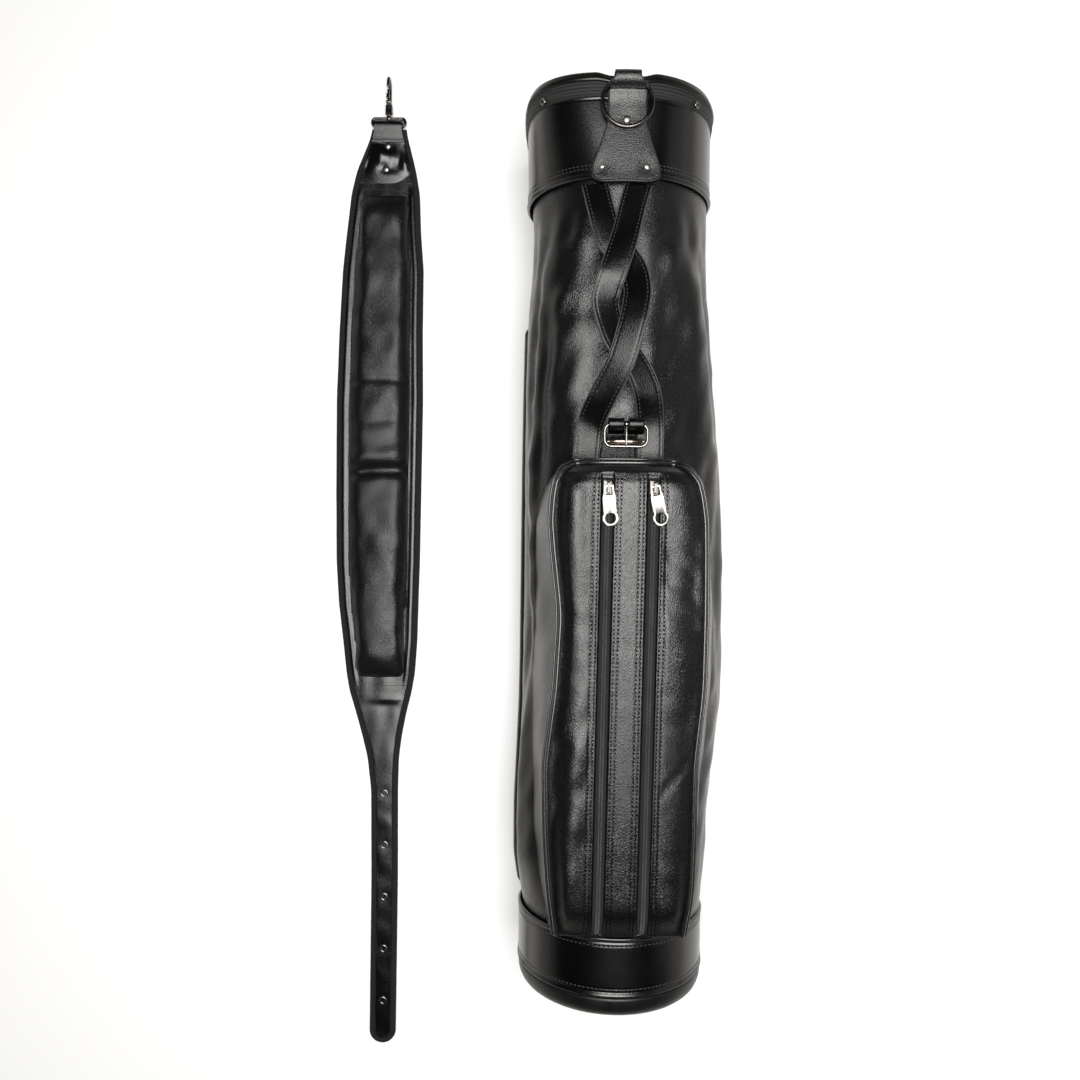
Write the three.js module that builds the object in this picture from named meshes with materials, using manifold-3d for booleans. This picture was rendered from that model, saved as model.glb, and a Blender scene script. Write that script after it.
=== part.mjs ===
// A leather golf bag lying on its back, with its shoulder strap beside it.
// Millimetres. +Z is up from the floor, +Y runs from the foot to the mouth, +X is the bag's right
// as it lies. The origin is on the floor, under the middle of the whole object.
import * as THREE from "three";
import { mergeVertices } from "three/addons/utils/BufferGeometryUtils.js";
import Module from "manifold-3d";

// ---- Driving dimensions -------------------------------------------------------------------
const CLEAR = 0.4; // gap kept between two pieces that touch
const BAG_X = 100; // bag axis, to the right of the origin
const BAG_RADIUS = 95; // collar and foot, outside
const MOUTH_Y = 464; // top of the rim
const FOOT_Y = -424; // standing face of the foot
const COLLAR_Y = 370; // lower edge of the stiff collar
const CUFF_TOP_Y = -345;
const CUFF_BOTTOM_Y = -403;
const WALL = 2.5; // leather of the soft body
const STIFF_WALL = 3; // leather over board at the collar and the cuff
const AROUND = 28; // points round each tube section

const RIM_BEAD_Y = 455.4; // lower edge of the rounded rim moulding
const RIM_BAND_Y = 445; // lower edge of the stitched band under it
const RING_WIRE = 2; // radius of the carry ring's wire
const RING_RADIUS = 23.5; // carry ring, centre line
const RING_PIVOT_Y = 460;
const TAB_HALF_TOP = 17; // ring tab, half width of its upper strip
const TAB_HALF_FOOT = 31.5; // and of its lower end
const HANDLE_WIDTH = 25;
const HANDLE_THICK = 3.2;
const POCKET_TOP_Y = 97;
const POCKET_WALL = 2.2;
const ZIP_TOP_Y = 82; // zips: upper end, lower end and the heights of the panel there
const ZIP_TOP_Z = 227;
const ZIP_FOOT_Y = -335;
const ZIP_FOOT_Z = 203;
const TAPE_WIDTH = 10;
const STRAP_X = -157; // line of the shoulder strap's neck
const STRAP_SHEET = [0.8, 3.8]; // under and upper face of the strap's leather
const BINDING_WIDTH = 7.5;
const EYELET_PITCH = 59.5;
const EYELET_FIRST_Y = -266;

// ---- Materials ----------------------------------------------------------------------------
const finish = (color, roughness, metalness = 0) =>
  new THREE.MeshStandardMaterial({ color, roughness, metalness });
const leather = () => finish(0x1a1a1b, 0.45);
const leatherEdge = () => finish(0x2a2826, 0.5);
const lining = () => finish(0x1d1c1c, 0.9);
const moulded = () => finish(0x141414, 0.55);
const webbing = () => finish(0x121212, 0.85);
const nickel = () => finish(0xb9b5ae, 0.22, 1);
const gunmetal = () => finish(0x55524f, 0.25, 1);

// ---- Solids -------------------------------------------------------------------------------
const wasm = await Module();
wasm.setup();

const v = (x, y, z) => new THREE.Vector3(x, y, z);
const rad = THREE.MathUtils.degToRad;
const mix = THREE.MathUtils.lerp;

function toSolid(geometry) {
  const bare = geometry.clone();
  bare.deleteAttribute("normal");
  bare.deleteAttribute("uv");
  const merged = mergeVertices(bare, 1e-4);
  return new wasm.Manifold(
    new wasm.Mesh({
      numProp: 3,
      vertProperties: merged.attributes.position.array,
      triVerts: new Uint32Array(merged.index.array),
    }),
  );
}

function toGeometry(solid) {
  const mesh = solid.getMesh();
  const geometry = new THREE.BufferGeometry();
  geometry.setAttribute("position", new THREE.BufferAttribute(mesh.vertProperties, 3));
  geometry.setIndex(new THREE.BufferAttribute(mesh.triVerts, 1));
  geometry.computeVertexNormals();
  return geometry;
}

const cut = (geometry, ...tools) =>
  toGeometry(tools.reduce((solid, tool) => solid.subtract(toSolid(tool)), toSolid(geometry)));
const join = (...geometries) =>
  toGeometry(geometries.map(toSolid).reduce((sum, solid) => sum.add(solid)));

// Skins a row of closed rings that have the same number of points. With wrap the last ring meets
// the first one, which makes a tube with open ends out of an outer and an inner run of rings.
function loft(rings, wrap = false) {
  const count = rings[0].length;
  const points = rings.flat();
  const index = [];
  const spans = wrap ? rings.length : rings.length - 1;
  for (let k = 0; k < spans; k++) {
    const a = k * count;
    const b = ((k + 1) % rings.length) * count;
    for (let i = 0; i < count; i++) {
      const j = (i + 1) % count;
      index.push(a + i, b + i, b + j, a + i, b + j, a + j);
    }
  }
  if (!wrap) {
    for (const [ring, flip] of [[0, false], [rings.length - 1, true]]) {
      const middle = rings[ring].reduce((sum, p) => sum.clone().add(p), v(0, 0, 0));
      points.push(middle.divideScalar(count));
      for (let i = 0; i < count; i++) {
        const a = ring * count + i;
        const b = ring * count + ((i + 1) % count);
        index.push(points.length - 1, flip ? b : a, flip ? a : b);
      }
    }
  }
  let volume = 0;
  for (let i = 0; i < index.length; i += 3) {
    const [a, b, c] = [points[index[i]], points[index[i + 1]], points[index[i + 2]]];
    volume += a.dot(b.clone().cross(c));
  }
  if (volume < 0) {
    for (let i = 0; i < index.length; i += 3) {
      [index[i + 1], index[i + 2]] = [index[i + 2], index[i + 1]];
    }
  }
  const geometry = new THREE.BufferGeometry();
  geometry.setFromPoints(points);
  geometry.setIndex(index);
  geometry.computeVertexNormals();
  return geometry;
}

// A flat strap along a path: its face looks up, its edges run level across the path.
function strip(path, width, thick, steps) {
  const curve = new THREE.CatmullRomCurve3(path, false, "centripetal");
  const rings = [];
  for (let k = 0; k <= steps; k++) {
    const at = curve.getPointAt(k / steps);
    const along = curve.getTangentAt(k / steps);
    const side = along.clone().cross(v(0, 0, 1)).normalize().multiplyScalar(width / 2);
    const up = side.clone().normalize().cross(along).multiplyScalar(thick / 2);
    rings.push([
      at.clone().sub(side).sub(up),
      at.clone().add(side).sub(up),
      at.clone().add(side).add(up),
      at.clone().sub(side).add(up),
    ]);
  }
  return loft(rings);
}

// A round wire along points. A closed path makes a ring; level is a direction that the wire never
// runs along.
function wire(points, radius, closed, sides = 8, level = v(0, 0, 1)) {
  const rings = points.map((at, k) => {
    const before = points[closed ? (k + points.length - 1) % points.length : Math.max(k - 1, 0)];
    const after = points[closed ? (k + 1) % points.length : Math.min(k + 1, points.length - 1)];
    const along = after.clone().sub(before).normalize();
    const side = along.clone().cross(level).normalize();
    const up = side.clone().cross(along).normalize();
    return Array.from({ length: sides }, (_, i) => {
      const turn = (2 * Math.PI * (i + 0.5)) / sides;
      return at
        .clone()
        .addScaledVector(side, radius * Math.cos(turn))
        .addScaledVector(up, radius * Math.sin(turn));
    });
  });
  return loft(rings, closed);
}

// Centre line of a rectangle with round corners, in the plane of two unit directions.
function roundedLoop(centre, right, up, width, height, corner, perCorner = 4) {
  const points = [];
  const corners = [[1, 1, 0], [-1, 1, 90], [-1, -1, 180], [1, -1, 270]];
  for (const [sx, sy, start] of corners) {
    for (let k = 0; k <= perCorner; k++) {
      const turn = rad(start + (90 * k) / perCorner);
      const x = sx * (width / 2 - corner) + corner * Math.cos(turn);
      const y = sy * (height / 2 - corner) + corner * Math.sin(turn);
      points.push(centre.clone().addScaledVector(right, x).addScaledVector(up, y));
    }
  }
  return points;
}

// A round hole in a shape, as a path without a doubled end point.
function roundHole(x, y, radius, count = 16) {
  const points = Array.from({ length: count }, (_, i) => {
    const turn = (2 * Math.PI * i) / count;
    return new THREE.Vector2(x + radius * Math.cos(turn), y + radius * Math.sin(turn));
  });
  return new THREE.Path(points);
}

// A turned piece about the vertical through the origin: profile is [radius, height] pairs.
const turned = (profile, segments = 20) =>
  new THREE.LatheGeometry(profile.map(([r, z]) => new THREE.Vector2(r, z)), segments).rotateX(
    Math.PI / 2,
  );

// Value of a column of a table of stations at a place along it, with smooth steps between rows.
function station(table, y, column) {
  const rows = [...table].sort((a, b) => a[0] - b[0]);
  if (y <= rows[0][0]) return rows[0][column];
  for (let k = 1; k < rows.length; k++) {
    if (y <= rows[k][0]) {
      const share = (y - rows[k - 1][0]) / (rows[k][0] - rows[k - 1][0]);
      return mix(rows[k - 1][column], rows[k][column], share);
    }
  }
  return rows[rows.length - 1][column];
}

const root = new THREE.Group();
const bag = new THREE.Group();
bag.position.x = BAG_X;
root.add(bag);

function add(name, geometry, material, group = bag) {
  const mesh = new THREE.Mesh(geometry, material);
  mesh.name = name;
  group.add(mesh);
  return mesh;
}

// ---- Bag: tube ----------------------------------------------------------------------------
// Stations of the tube: y, half width to the left, to the right, top, underside and the
// squareness of the section (2 is an ellipse).
const BODY = [
  [384, 90.4, 90.4, 184.6, 4.4, 2.05],
  [366, 89.6, 89.8, 184.4, 3.6, 2.1],
  [345, 88, 90, 183, 1.6, 2.1],
  [310, 89, 91, 181, 0.4, 2.1],
  [255, 93, 95.5, 178, 0.3, 2.15],
  [180, 94, 101, 174, 0.3, 2.2],
  [100, 94.5, 107, 170, 0.3, 2.2],
  [0, 94.5, 111.5, 166, 0.3, 2.2],
  [-98, 94.5, 114.4, 164, 0.3, 2.2],
  [-145, 95, 113.6, 164, 0.3, 2.2],
  [-200, 97, 106, 167, 0.3, 2.2],
  [-250, 99, 99, 173, 0.3, 2.15],
  [-304, 98.5, 95, 182, 0.6, 2.1],
  [-335, 93.5, 92, 186, 2.6, 2.1],
  [-343, 91.2, 91.2, 186.2, 3.6, 2],
  [-398, 91.2, 91.2, 186.2, 3.6, 2],
];
// The stiff collar is squarer in front towards the mouth.
const COLLAR = [
  [COLLAR_Y + CLEAR, 94.6, 94.6, 188.6, 0.3, 2.1],
  [400, 94.8, 94.8, 189.6, 0.2, 2.2],
  [RIM_BAND_Y - CLEAR, 95.4, 95, 191, 0, 2.45],
];
const MOUTH = [
  [RIM_BAND_Y, 96.4, 96, 192.2, 0, 2.45],
  [MOUTH_Y, 97, 96.4, 193, 0, 2.5],
];
const ROUND = [
  [CUFF_BOTTOM_Y, BAG_RADIUS + 0.5, BAG_RADIUS - 0.3, 190, 0, 2],
  [CUFF_TOP_Y, BAG_RADIUS + 0.3, BAG_RADIUS - 0.5, 190, 0, 2],
];

// A ring of points at y: a rounded section, flat where it rests, shrunk evenly by inset.
function section(table, y, inset = 0) {
  const [left, right, top, under, square] = [1, 2, 3, 4, 5].map((c) => station(table, y, c));
  const middle = (top + under) / 2;
  const height = (top - under) / 2 - inset;
  const bend = (value, power) => Math.sign(value) * Math.abs(value) ** power;
  return Array.from({ length: AROUND }, (_, i) => {
    const turn = (2 * Math.PI * (i + 0.5)) / AROUND;
    const across = Math.sin(turn);
    const up = Math.cos(turn);
    const power = 2 / square;
    const half = (across < 0 ? left : right) - inset;
    // Half a step off the bottom the section already rests, so its lowest facet is flat.
    return v(half * bend(across, power), y, middle + height * bend(up / STEP_COS, power));
  });
}
const STEP_COS = Math.cos(Math.PI / AROUND);

function tube(table, ys, thick, inset = 0) {
  const outer = ys.map((y) => section(table, y, inset));
  const inner = [...ys].reverse().map((y) => section(table, y, inset + thick));
  return loft([...outer, ...inner], true);
}

const bodyYs = BODY.map((row) => row[0]);
add("body_shell", tube(BODY, bodyYs, WALL), leather());
const bodyGrown = loft(bodyYs.map((y) => section(BODY, y, -CLEAR)));

const RIVET_HOLE = 2.6;
const RIVET_SHANK = 2.1;

// A cylinder through the bag's wall, pointing out from the axis at an angle from the top.
function radialPin(radius, y, angle, from, to) {
  const pin = new THREE.CylinderGeometry(radius, radius, to - from, 8);
  pin.rotateX(Math.PI / 2).translate(0, 0, (from + to) / 2);
  return pin.rotateY(rad(angle)).translate(0, y, BAG_RADIUS);
}

// ---- Bag: ring tab and rivets -------------------------------------------------------------
const TAB_RIVETS = { top: [-2, 421], left: [-24, 378], right: [17.4, 378] };
const TAB_THICK = 2.6;
const TAB_X = -1.6; // middle of the tab
const FOLD_HALF = 11.5; // half width of its fold over the carry ring and the rim

// Height of the collar's outer surface over a place beside the axis.
function collarTop(table, y, x) {
  const [left, right, top, under, square] = [1, 2, 3, 4, 5].map((c) => station(table, y, c));
  const half = x < 0 ? left : right;
  const middle = (top + under) / 2;
  return middle + (top - middle) * (1 - (Math.abs(x) / half) ** square) ** (1 / square);
}

// Rows of the tab: y, half width, height of its underside over the collar.
const TAB_ROWS = [
  [365, 25, 1.4],
  [367, 29, 1.2],
  [373, TAB_HALF_FOOT, 1],
  [380, 31, 1],
  [400, 23.5, 1],
  [418, TAB_HALF_TOP + 0.5, 1],
  [436, TAB_HALF_TOP, 1.4],
  [443, TAB_HALF_TOP, 3],
  [447, TAB_HALF_TOP, 5.4],
  [448, FOLD_HALF, 6],
  [455, FOLD_HALF, 9],
  [461, FOLD_HALF, 9.2],
  [464.6, FOLD_HALF, 6.6],
];
// Over the rim and down its inner side: y of the outer face, heights of the inner and outer face.
const TAB_OVER_RIM = [
  [467, 195.6, 197.4],
  [467.4, 190, 189.6],
  [467, 184.6, 181.6],
];
const TAB_END_Y = 440;
const TAB_ACROSS = 6;

// One section across the tab: its lower face, then its upper face back.
function tabRing(half, lower, upper) {
  const across = Array.from({ length: TAB_ACROSS + 1 }, (_, i) =>
    TAB_X + half * (2 * (i / TAB_ACROSS) - 1));
  return [...across.map(lower), ...across.map(upper).reverse()];
}

function tabGeometry() {
  const rings = TAB_ROWS.map(([y, half, lift]) => {
    const table = y < RIM_BAND_Y ? COLLAR : MOUTH;
    const height = (x) => collarTop(table, Math.max(y, COLLAR_Y + CLEAR), x) + lift;
    return tabRing(half, (x) => v(x, y, height(x)), (x) => v(x, y, height(x) + TAB_THICK));
  });
  for (const [y, inner, outer] of TAB_OVER_RIM) {
    rings.push(tabRing(FOLD_HALF, (x) => v(x, y - TAB_THICK, inner), (x) => v(x, y, outer)));
  }
  const [, inner, outer] = TAB_OVER_RIM.at(-1);
  rings.push(tabRing(FOLD_HALF, (x) => v(x, TAB_END_Y, inner), (x) => v(x, TAB_END_Y, outer)));
  return loft(rings);
}

// Axis of each tab rivet: square to the collar's surface.
function rivetPlace([x, y]) {
  const z = collarTop(COLLAR, y, x);
  const slope = (collarTop(COLLAR, y, x + 1) - collarTop(COLLAR, y, x - 1)) / 2;
  return { x, y, z, lean: Math.atan(-slope) };
}
function atRivet(geometry, place) {
  return geometry.rotateY(place.lean).translate(place.x, place.y, place.z);
}
const tabPins = Object.values(TAB_RIVETS).map((at) =>
  atRivet(
    new THREE.CylinderGeometry(RIVET_HOLE, RIVET_HOLE, 16, 8).rotateX(Math.PI / 2),
    rivetPlace(at),
  ),
);

const DOME = 5; // radius of a dome rivet's head
const domeRivet = (seat, shankFrom) =>
  turned([
    [0, shankFrom],
    [RIVET_SHANK, shankFrom],
    [RIVET_SHANK, seat],
    [DOME, seat],
    [DOME, seat + 0.8],
    [DOME * 0.84, seat + 2],
    [DOME * 0.5, seat + 3],
    [0, seat + 3.4],
  ], 10);
for (const [side, at] of Object.entries(TAB_RIVETS)) {
  const rivet = domeRivet(1 + TAB_THICK + CLEAR + 0.3, -2.4);
  add("tab_rivet_" + side, atRivet(rivet, rivetPlace(at)), gunmetal());
}
add("ring_tab", cut(tabGeometry(), ...tabPins), leather());

// ---- Bag: collar, rim and divider ---------------------------------------------------------
const DIVIDER_RIVETS = {
  front_right: 47,
  back_right: 133,
  back_left: 227,
  front_left: 313,
};
const DIVIDER_Y = 439;
const dividerHole = (angle) => radialPin(1.9, DIVIDER_Y, angle, 60, 150);

add(
  "collar",
  cut(
    tube(COLLAR, COLLAR.map((row) => row[0]), STIFF_WALL),
    ...tabPins,
    ...Object.values(DIVIDER_RIVETS).map(dividerHole),
  ),
  leather(),
);
add("rim_band", tube(MOUTH, [RIM_BAND_Y, RIM_BEAD_Y - CLEAR], 3.6), leatherEdge());

// The rounded moulding over the mouth's edge.
const rimProfile = [
  [RIM_BEAD_Y, 0],
  [458, -0.9],
  [461.5, -0.6],
  [463.6, 1],
  [MOUTH_Y, 3],
  [463.4, 5.4],
  [461, 6.6],
  [RIM_BEAD_Y, 7],
];
const rimRings = rimProfile.map(([y, inset]) =>
  section(MOUTH, y, inset).map((p) => v(p.x, p.y, Math.max(p.z, 0))),
);
add("rim_bead", loft(rimRings, true), moulded());

// Four padded arms that cross in the mouth keep the clubs apart.
const DIVIDER_ARM = 5;
const dividerArm = (angle, reach) =>
  new THREE.CylinderGeometry(DIVIDER_ARM, DIVIDER_ARM, 2 * reach, 8)
    .rotateZ(Math.PI / 2)
    .rotateY(rad(angle))
    .translate(0, DIVIDER_Y, BAG_RADIUS);
const dividerTrim = cut(
  new THREE.BoxGeometry(400, 60, 400).translate(0, DIVIDER_Y, BAG_RADIUS),
  loft([400, 470].map((y) => section(COLLAR, y, STIFF_WALL + CLEAR))),
);
add(
  "club_divider",
  cut(
    join(dividerArm(45, 102), dividerArm(-45, 102)),
    dividerTrim,
    ...Object.values(DIVIDER_RIVETS).map(dividerHole),
  ),
  lining(),
);

// Each divider screw passes the collar from outside and ends in its arm.
function dividerScrew(angle) {
  const across = Math.sin(rad(angle));
  const up = Math.cos(rad(angle));
  let reach = 60;
  const inside = (r) => {
    const half = across < 0 ? station(COLLAR, DIVIDER_Y, 1) : station(COLLAR, DIVIDER_Y, 2);
    const square = station(COLLAR, DIVIDER_Y, 5);
    return (Math.abs(r * across) / half) ** square + (Math.abs(r * up) / BAG_RADIUS) ** square < 1;
  };
  while (inside(reach)) reach += 0.25;
  const head = radialPin(3.4, DIVIDER_Y, angle, reach + 0.9, reach + 2.3);
  const shank = radialPin(1.5, DIVIDER_Y, angle, reach - 16, reach + 1.2);
  return join(head, shank);
}
for (const [name, angle] of Object.entries(DIVIDER_RIVETS)) {
  add("divider_screw_" + name, dividerScrew(angle), nickel());
}

// ---- Bag: carry ring ----------------------------------------------------------------------
// The ring hangs in the tab's loop and its lower arc lies on the tab.
const ringTop = v(TAB_X, RING_PIVOT_Y, 196.4);
const ringLean = rad(1.2);
const ringCentre = ringTop.clone().add(
  v(0, -RING_RADIUS * Math.cos(ringLean), RING_RADIUS * Math.sin(ringLean)),
);
const ringUp = ringTop.clone().sub(ringCentre).normalize();
const ringPoints = Array.from({ length: 24 }, (_, i) => {
  const turn = (2 * Math.PI * i) / 24;
  return ringCentre
    .clone()
    .addScaledVector(v(1, 0, 0), RING_RADIUS * Math.sin(turn))
    .addScaledVector(ringUp, RING_RADIUS * Math.cos(turn));
});
add("carry_ring", wire(ringPoints, RING_WIRE, true), gunmetal());

// ---- Bag: foot ----------------------------------------------------------------------------
add("base_cuff", tube(ROUND, [CUFF_TOP_Y, CUFF_BOTTOM_Y], STIFF_WALL), leather());

// A moulded cup: its floor closes the tube, its edge is rounded and its skirt stands in the cuff.
const cupOuter = [
  [-400, 7.6],
  [CUFF_BOTTOM_Y - CLEAR, 7.6],
  [CUFF_BOTTOM_Y - CLEAR, 0.4],
  [-409, 0.5],
  [-415, 1.6],
  [-420, 4.4],
  [-423, 8.4],
  [FOOT_Y, 13],
];
const cupRings = cupOuter.map(([y, inset]) => section(ROUND, Math.max(y, CUFF_BOTTOM_Y), inset)
  .map((p) => v(p.x, y, p.z)));
add("foot_cup", loft([...cupRings].reverse()), moulded());
const boardRings = [-399.5, -395].map((y) => section(ROUND, CUFF_BOTTOM_Y, 8.4)
  .map((p) => v(p.x, y, p.z)));
add("foot_board", loft(boardRings), lining());

// A flat stay inside the back keeps the bag from folding.
add(
  "spine_stay",
  new THREE.BoxGeometry(18, 822, 4).translate(0, 17, 12.5),
  moulded(),
);

// ---- Bag: ball pocket ---------------------------------------------------------------------
// Stations of the pocket: y, middle of the panel, its half width, height of its middle, and the
// places to the left and right where its gusset meets the body.
const zipHeight = (y) =>
  mix(ZIP_FOOT_Z, ZIP_TOP_Z, (y - ZIP_FOOT_Y) / (ZIP_TOP_Y - ZIP_FOOT_Y));
const POCKET = [
  [POCKET_TOP_Y, 4.6, 37, 206, -47, 56],
  [94, 4.8, 46, 214, -57, 66],
  [88, 5, 55, 222, -67, 77],
  [76, 3, 62.5, zipHeight(76), -76, 86],
  [55, 2, 68, zipHeight(55), -83, 92],
  [20, 4, 68, zipHeight(20), -85, 95],
  [-40, 8, 65, zipHeight(-40), -85, 98],
  [-110, 6, 66.5, zipHeight(-110), -85, 99],
  [-180, -1.5, 67.5, zipHeight(-180), -84, 92],
  [-250, -0.5, 66.5, zipHeight(-250), -82, 84],
  [-300, 1, 64, zipHeight(-300), -79, 80],
  [-330, 1, 60.5, zipHeight(-330), -76, 77],
  [CUFF_TOP_Y + CLEAR, 1, 59, 196, -74, 75],
];
const PANEL_DROP = 9; // how much lower the panel's edge is than its middle
const PANEL_POINTS = 8;

const panelDrop = (share) => PANEL_DROP * Math.abs(share) ** 2.6;

// A section across the pocket. Its lower ends run on into the tube, which then cuts them off.
function pocketSection(y, inset, at = y) {
  const [middle, half, height, left, right] = [1, 2, 3, 4, 5].map((c) => station(POCKET, y, c));
  const bodyTop = station(BODY, y, 3);
  const drop = Math.min(PANEL_DROP, (height - bodyTop) * 0.6);
  const points = [];
  const base = 100;
  for (let i = 0; i <= PANEL_POINTS; i++) {
    const share = (2 * i) / PANEL_POINTS - 1;
    const sag = (drop / PANEL_DROP) * panelDrop(share);
    points.push([middle + (half - inset) * share, height - inset - sag]);
  }
  const edge = height - drop - inset;
  const bulge = (side, foot) => {
    const rim = middle + side * (half - inset);
    const low = foot - side * inset;
    return [
      [mix(rim, low, 0.22) + side * 1.5, edge - 9],
      [mix(rim, low, 0.62) + side * 1.5, mix(edge, 120, 0.5)],
      [low, 118],
      [low - side * 4, base],
    ];
  };
  const rightSide = bulge(1, right);
  const leftSide = bulge(-1, left).reverse();
  return [...leftSide, ...points, ...rightSide].map(([x, z]) => v(x, at, z));
}

const zipLine = {
  left: [v(-17.5, ZIP_TOP_Y, ZIP_TOP_Z), v(-20.5, ZIP_FOOT_Y, ZIP_FOOT_Z)],
  right: [v(24, ZIP_TOP_Y, ZIP_TOP_Z), v(21.4, ZIP_FOOT_Y, ZIP_FOOT_Z)],
};

// A group whose -Y runs down a zip and whose +Z looks out of the panel.
function zipGroup([top, foot]) {
  const along = top.clone().sub(foot).normalize();
  const across = along.clone().cross(v(0, 0, 1)).normalize();
  const out = across.clone().cross(along);
  const group = new THREE.Group();
  group.applyMatrix4(new THREE.Matrix4().makeBasis(across, along, out).setPosition(top));
  group.updateMatrix();
  bag.add(group);
  return group;
}
const zipLength = zipLine.left[0].distanceTo(zipLine.left[1]);

const pipingRows = POCKET.filter((row) => row[0] < 96);
const pipingSide = (side) =>
  pipingRows.map(([y, middle, half, height]) => {
    const bodyTop = station(BODY, y, 3);
    const drop = Math.min(PANEL_DROP, (height - bodyTop) * 0.6);
    return v(middle + side * (half + 0.9), y, height - drop + 1);
  });
const pipingTop = [
  v(-20, POCKET_TOP_Y + 1, 214),
  v(4.6, POCKET_TOP_Y + 1.6, 215),
  v(30, POCKET_TOP_Y + 1, 214),
];
const pipingPath = [
  ...pipingSide(-1).reverse(),
  ...pipingTop,
  ...pipingSide(1),
];
const pipingCurve = new THREE.CatmullRomCurve3(pipingPath, false, "centripetal");
const PIPING_STEPS = 40;
const PIPING_RADIUS = 2.1;
const piping = (radius) => wire(pipingCurve.getSpacedPoints(PIPING_STEPS), radius, false, 6);

const zipGroups = {};
const slots = [];
for (const side of ["left", "right"]) {
  const group = zipGroup(zipLine[side]);
  zipGroups[side] = group;
  const slot = new THREE.BoxGeometry(TAPE_WIDTH + 2 * CLEAR, zipLength + 6, 40)
    .translate(0, -zipLength / 2, 0)
    .applyMatrix4(group.matrix);
  slots.push(slot);
  const tape = new THREE.BoxGeometry(TAPE_WIDTH, zipLength + 4, 1.2);
  add("zip_tape_" + side, tape.translate(0, -zipLength / 2, -1.6), webbing(), group);
  const chain = new THREE.BoxGeometry(4.6, zipLength - 2, 1.7);
  add("zip_chain_" + side, chain.translate(0, -zipLength / 2, 0.2), webbing(), group);
}

const pocketYs = POCKET.map((row) => row[0]);
const pocketOuter = loft(pocketYs.map((y) => pocketSection(y, 0)));
const hollowYs = [POCKET_TOP_Y - POCKET_WALL, 90, 84, 76, ...pocketYs.slice(4, -1), CUFF_TOP_Y + 3];
const pocketHollow = loft(hollowYs.map((y) => pocketSection(y, POCKET_WALL)));
const pipingGroove = piping(PIPING_RADIUS + 0.35);
add("pocket_shell", cut(pocketOuter, pocketHollow, bodyGrown, pipingGroove, ...slots), leather());
add("pocket_piping", piping(PIPING_RADIUS), leatherEdge());

// ---- Bag: zip sliders and pulls -----------------------------------------------------------
const PULL_REACH = 29.1; // from the slider's bridge to the ring of the pull
const SLIDER_Y = -7; // bridge, below the upper end of the zip
const PULL_DROOP = 5; // degrees, how far the pull leans down to the panel
const pullYaw = { left: 5, right: 12.5 };

const sideProfile = (points, width) => {
  const shape = new THREE.Shape(points.map(([y, z]) => new THREE.Vector2(y, z)));
  return new THREE.ExtrudeGeometry(shape, { depth: width, bevelEnabled: false })
    .translate(0, 0, -width / 2)
    .rotateX(Math.PI / 2)
    .rotateZ(Math.PI / 2);
};

function sliderGeometry() {
  const plate = sideProfile(
    [[-7, 1.5], [5, 1.5], [7, 2.6], [7, 3.4], [5, 4.1], [-6, 4.1], [-7, 3.4]],
    8.6,
  );
  const outside = [[5.2, 8], [4.2, 8.7], [-4.4, 8.7], [-5.4, 8]];
  const inside = [[-5.4, 3.6], [-3.8, 3.6], [-3.8, 7.2], [3.6, 7.2], [3.6, 3.6], [5.2, 3.6]];
  const bridge = sideProfile([...inside, ...outside], 2.2);
  return join(plate, bridge);
}

function pullGeometry() {
  const outline = new THREE.Shape();
  outline.moveTo(-4.4, 0.9);
  outline.lineTo(4.4, 0.9);
  outline.lineTo(4.6, -5);
  outline.lineTo(6, -10);
  outline.lineTo(6.2, -PULL_REACH + 6);
  outline.absarc(0, -PULL_REACH, 7.2, rad(42), rad(138), true);
  outline.lineTo(-6.2, -PULL_REACH + 6);
  outline.lineTo(-6, -10);
  outline.lineTo(-4.6, -5);
  outline.holes.push(roundHole(0, -PULL_REACH, 5.1));
  const plate = new THREE.ExtrudeGeometry(outline, {
    depth: 1.4,
    bevelEnabled: false,
    curveSegments: 10,
  }).translate(0, 0, -0.7);
  const eye = new THREE.BoxGeometry(6.4, 7.3, 6).translate(0, -4.55, 0);
  return cut(plate, eye);
}

for (const side of ["left", "right"]) {
  const slider = new THREE.Group();
  slider.position.set(0, SLIDER_Y, 0);
  zipGroups[side].add(slider);
  add("zip_slider_" + side, sliderGeometry(), gunmetal(), slider);
  const pull = new THREE.Group();
  pull.position.set(0, 1.4, 6);
  pull.rotation.set(rad(PULL_DROOP), 0, rad(pullYaw[side]), "ZXY");
  slider.add(pull);
  add("zip_pull_" + side, pullGeometry(), nickel(), pull);
}

// ---- Bag: twisted handle ------------------------------------------------------------------
// Each strap leaves the collar's seam, crosses the other one twice and ends at the pocket.
const HANDLE_A = [
  v(10.5, 362.4, 188),
  v(4.5, 340, 198),
  v(-4, 306, 210.5),
  v(-14, 274, 216.5),
  v(-19.2, 258, 214),
  v(-20.8, 242, 211),
  v(-11, 214, 206.5),
  v(7, 192, 203),
  v(20, 166, 196),
  v(25, 137, 182.5),
  v(25.6, 101.5, 176.2),
];
const HANDLE_B = [
  v(-30.5, 362, 187.2),
  v(-25, 335, 196),
  v(-17, 307, 200.5),
  v(-4, 291, 202.5),
  v(5, 276, 206.5),
  v(8.2, 258, 213),
  v(6.8, 243, 217),
  v(2.5, 222, 219),
  v(-7, 190, 215),
  v(-22.5, 160, 200),
  v(-31.5, 139, 184.5),
  v(-34.5, 118, 179),
  v(-35.6, 101.5, 176.2),
];
add("handle_strap_right", strip(HANDLE_A, HANDLE_WIDTH, HANDLE_THICK, 26), leather());
add("handle_strap_left", strip(HANDLE_B, HANDLE_WIDTH, HANDLE_THICK, 26), leather());

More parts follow.
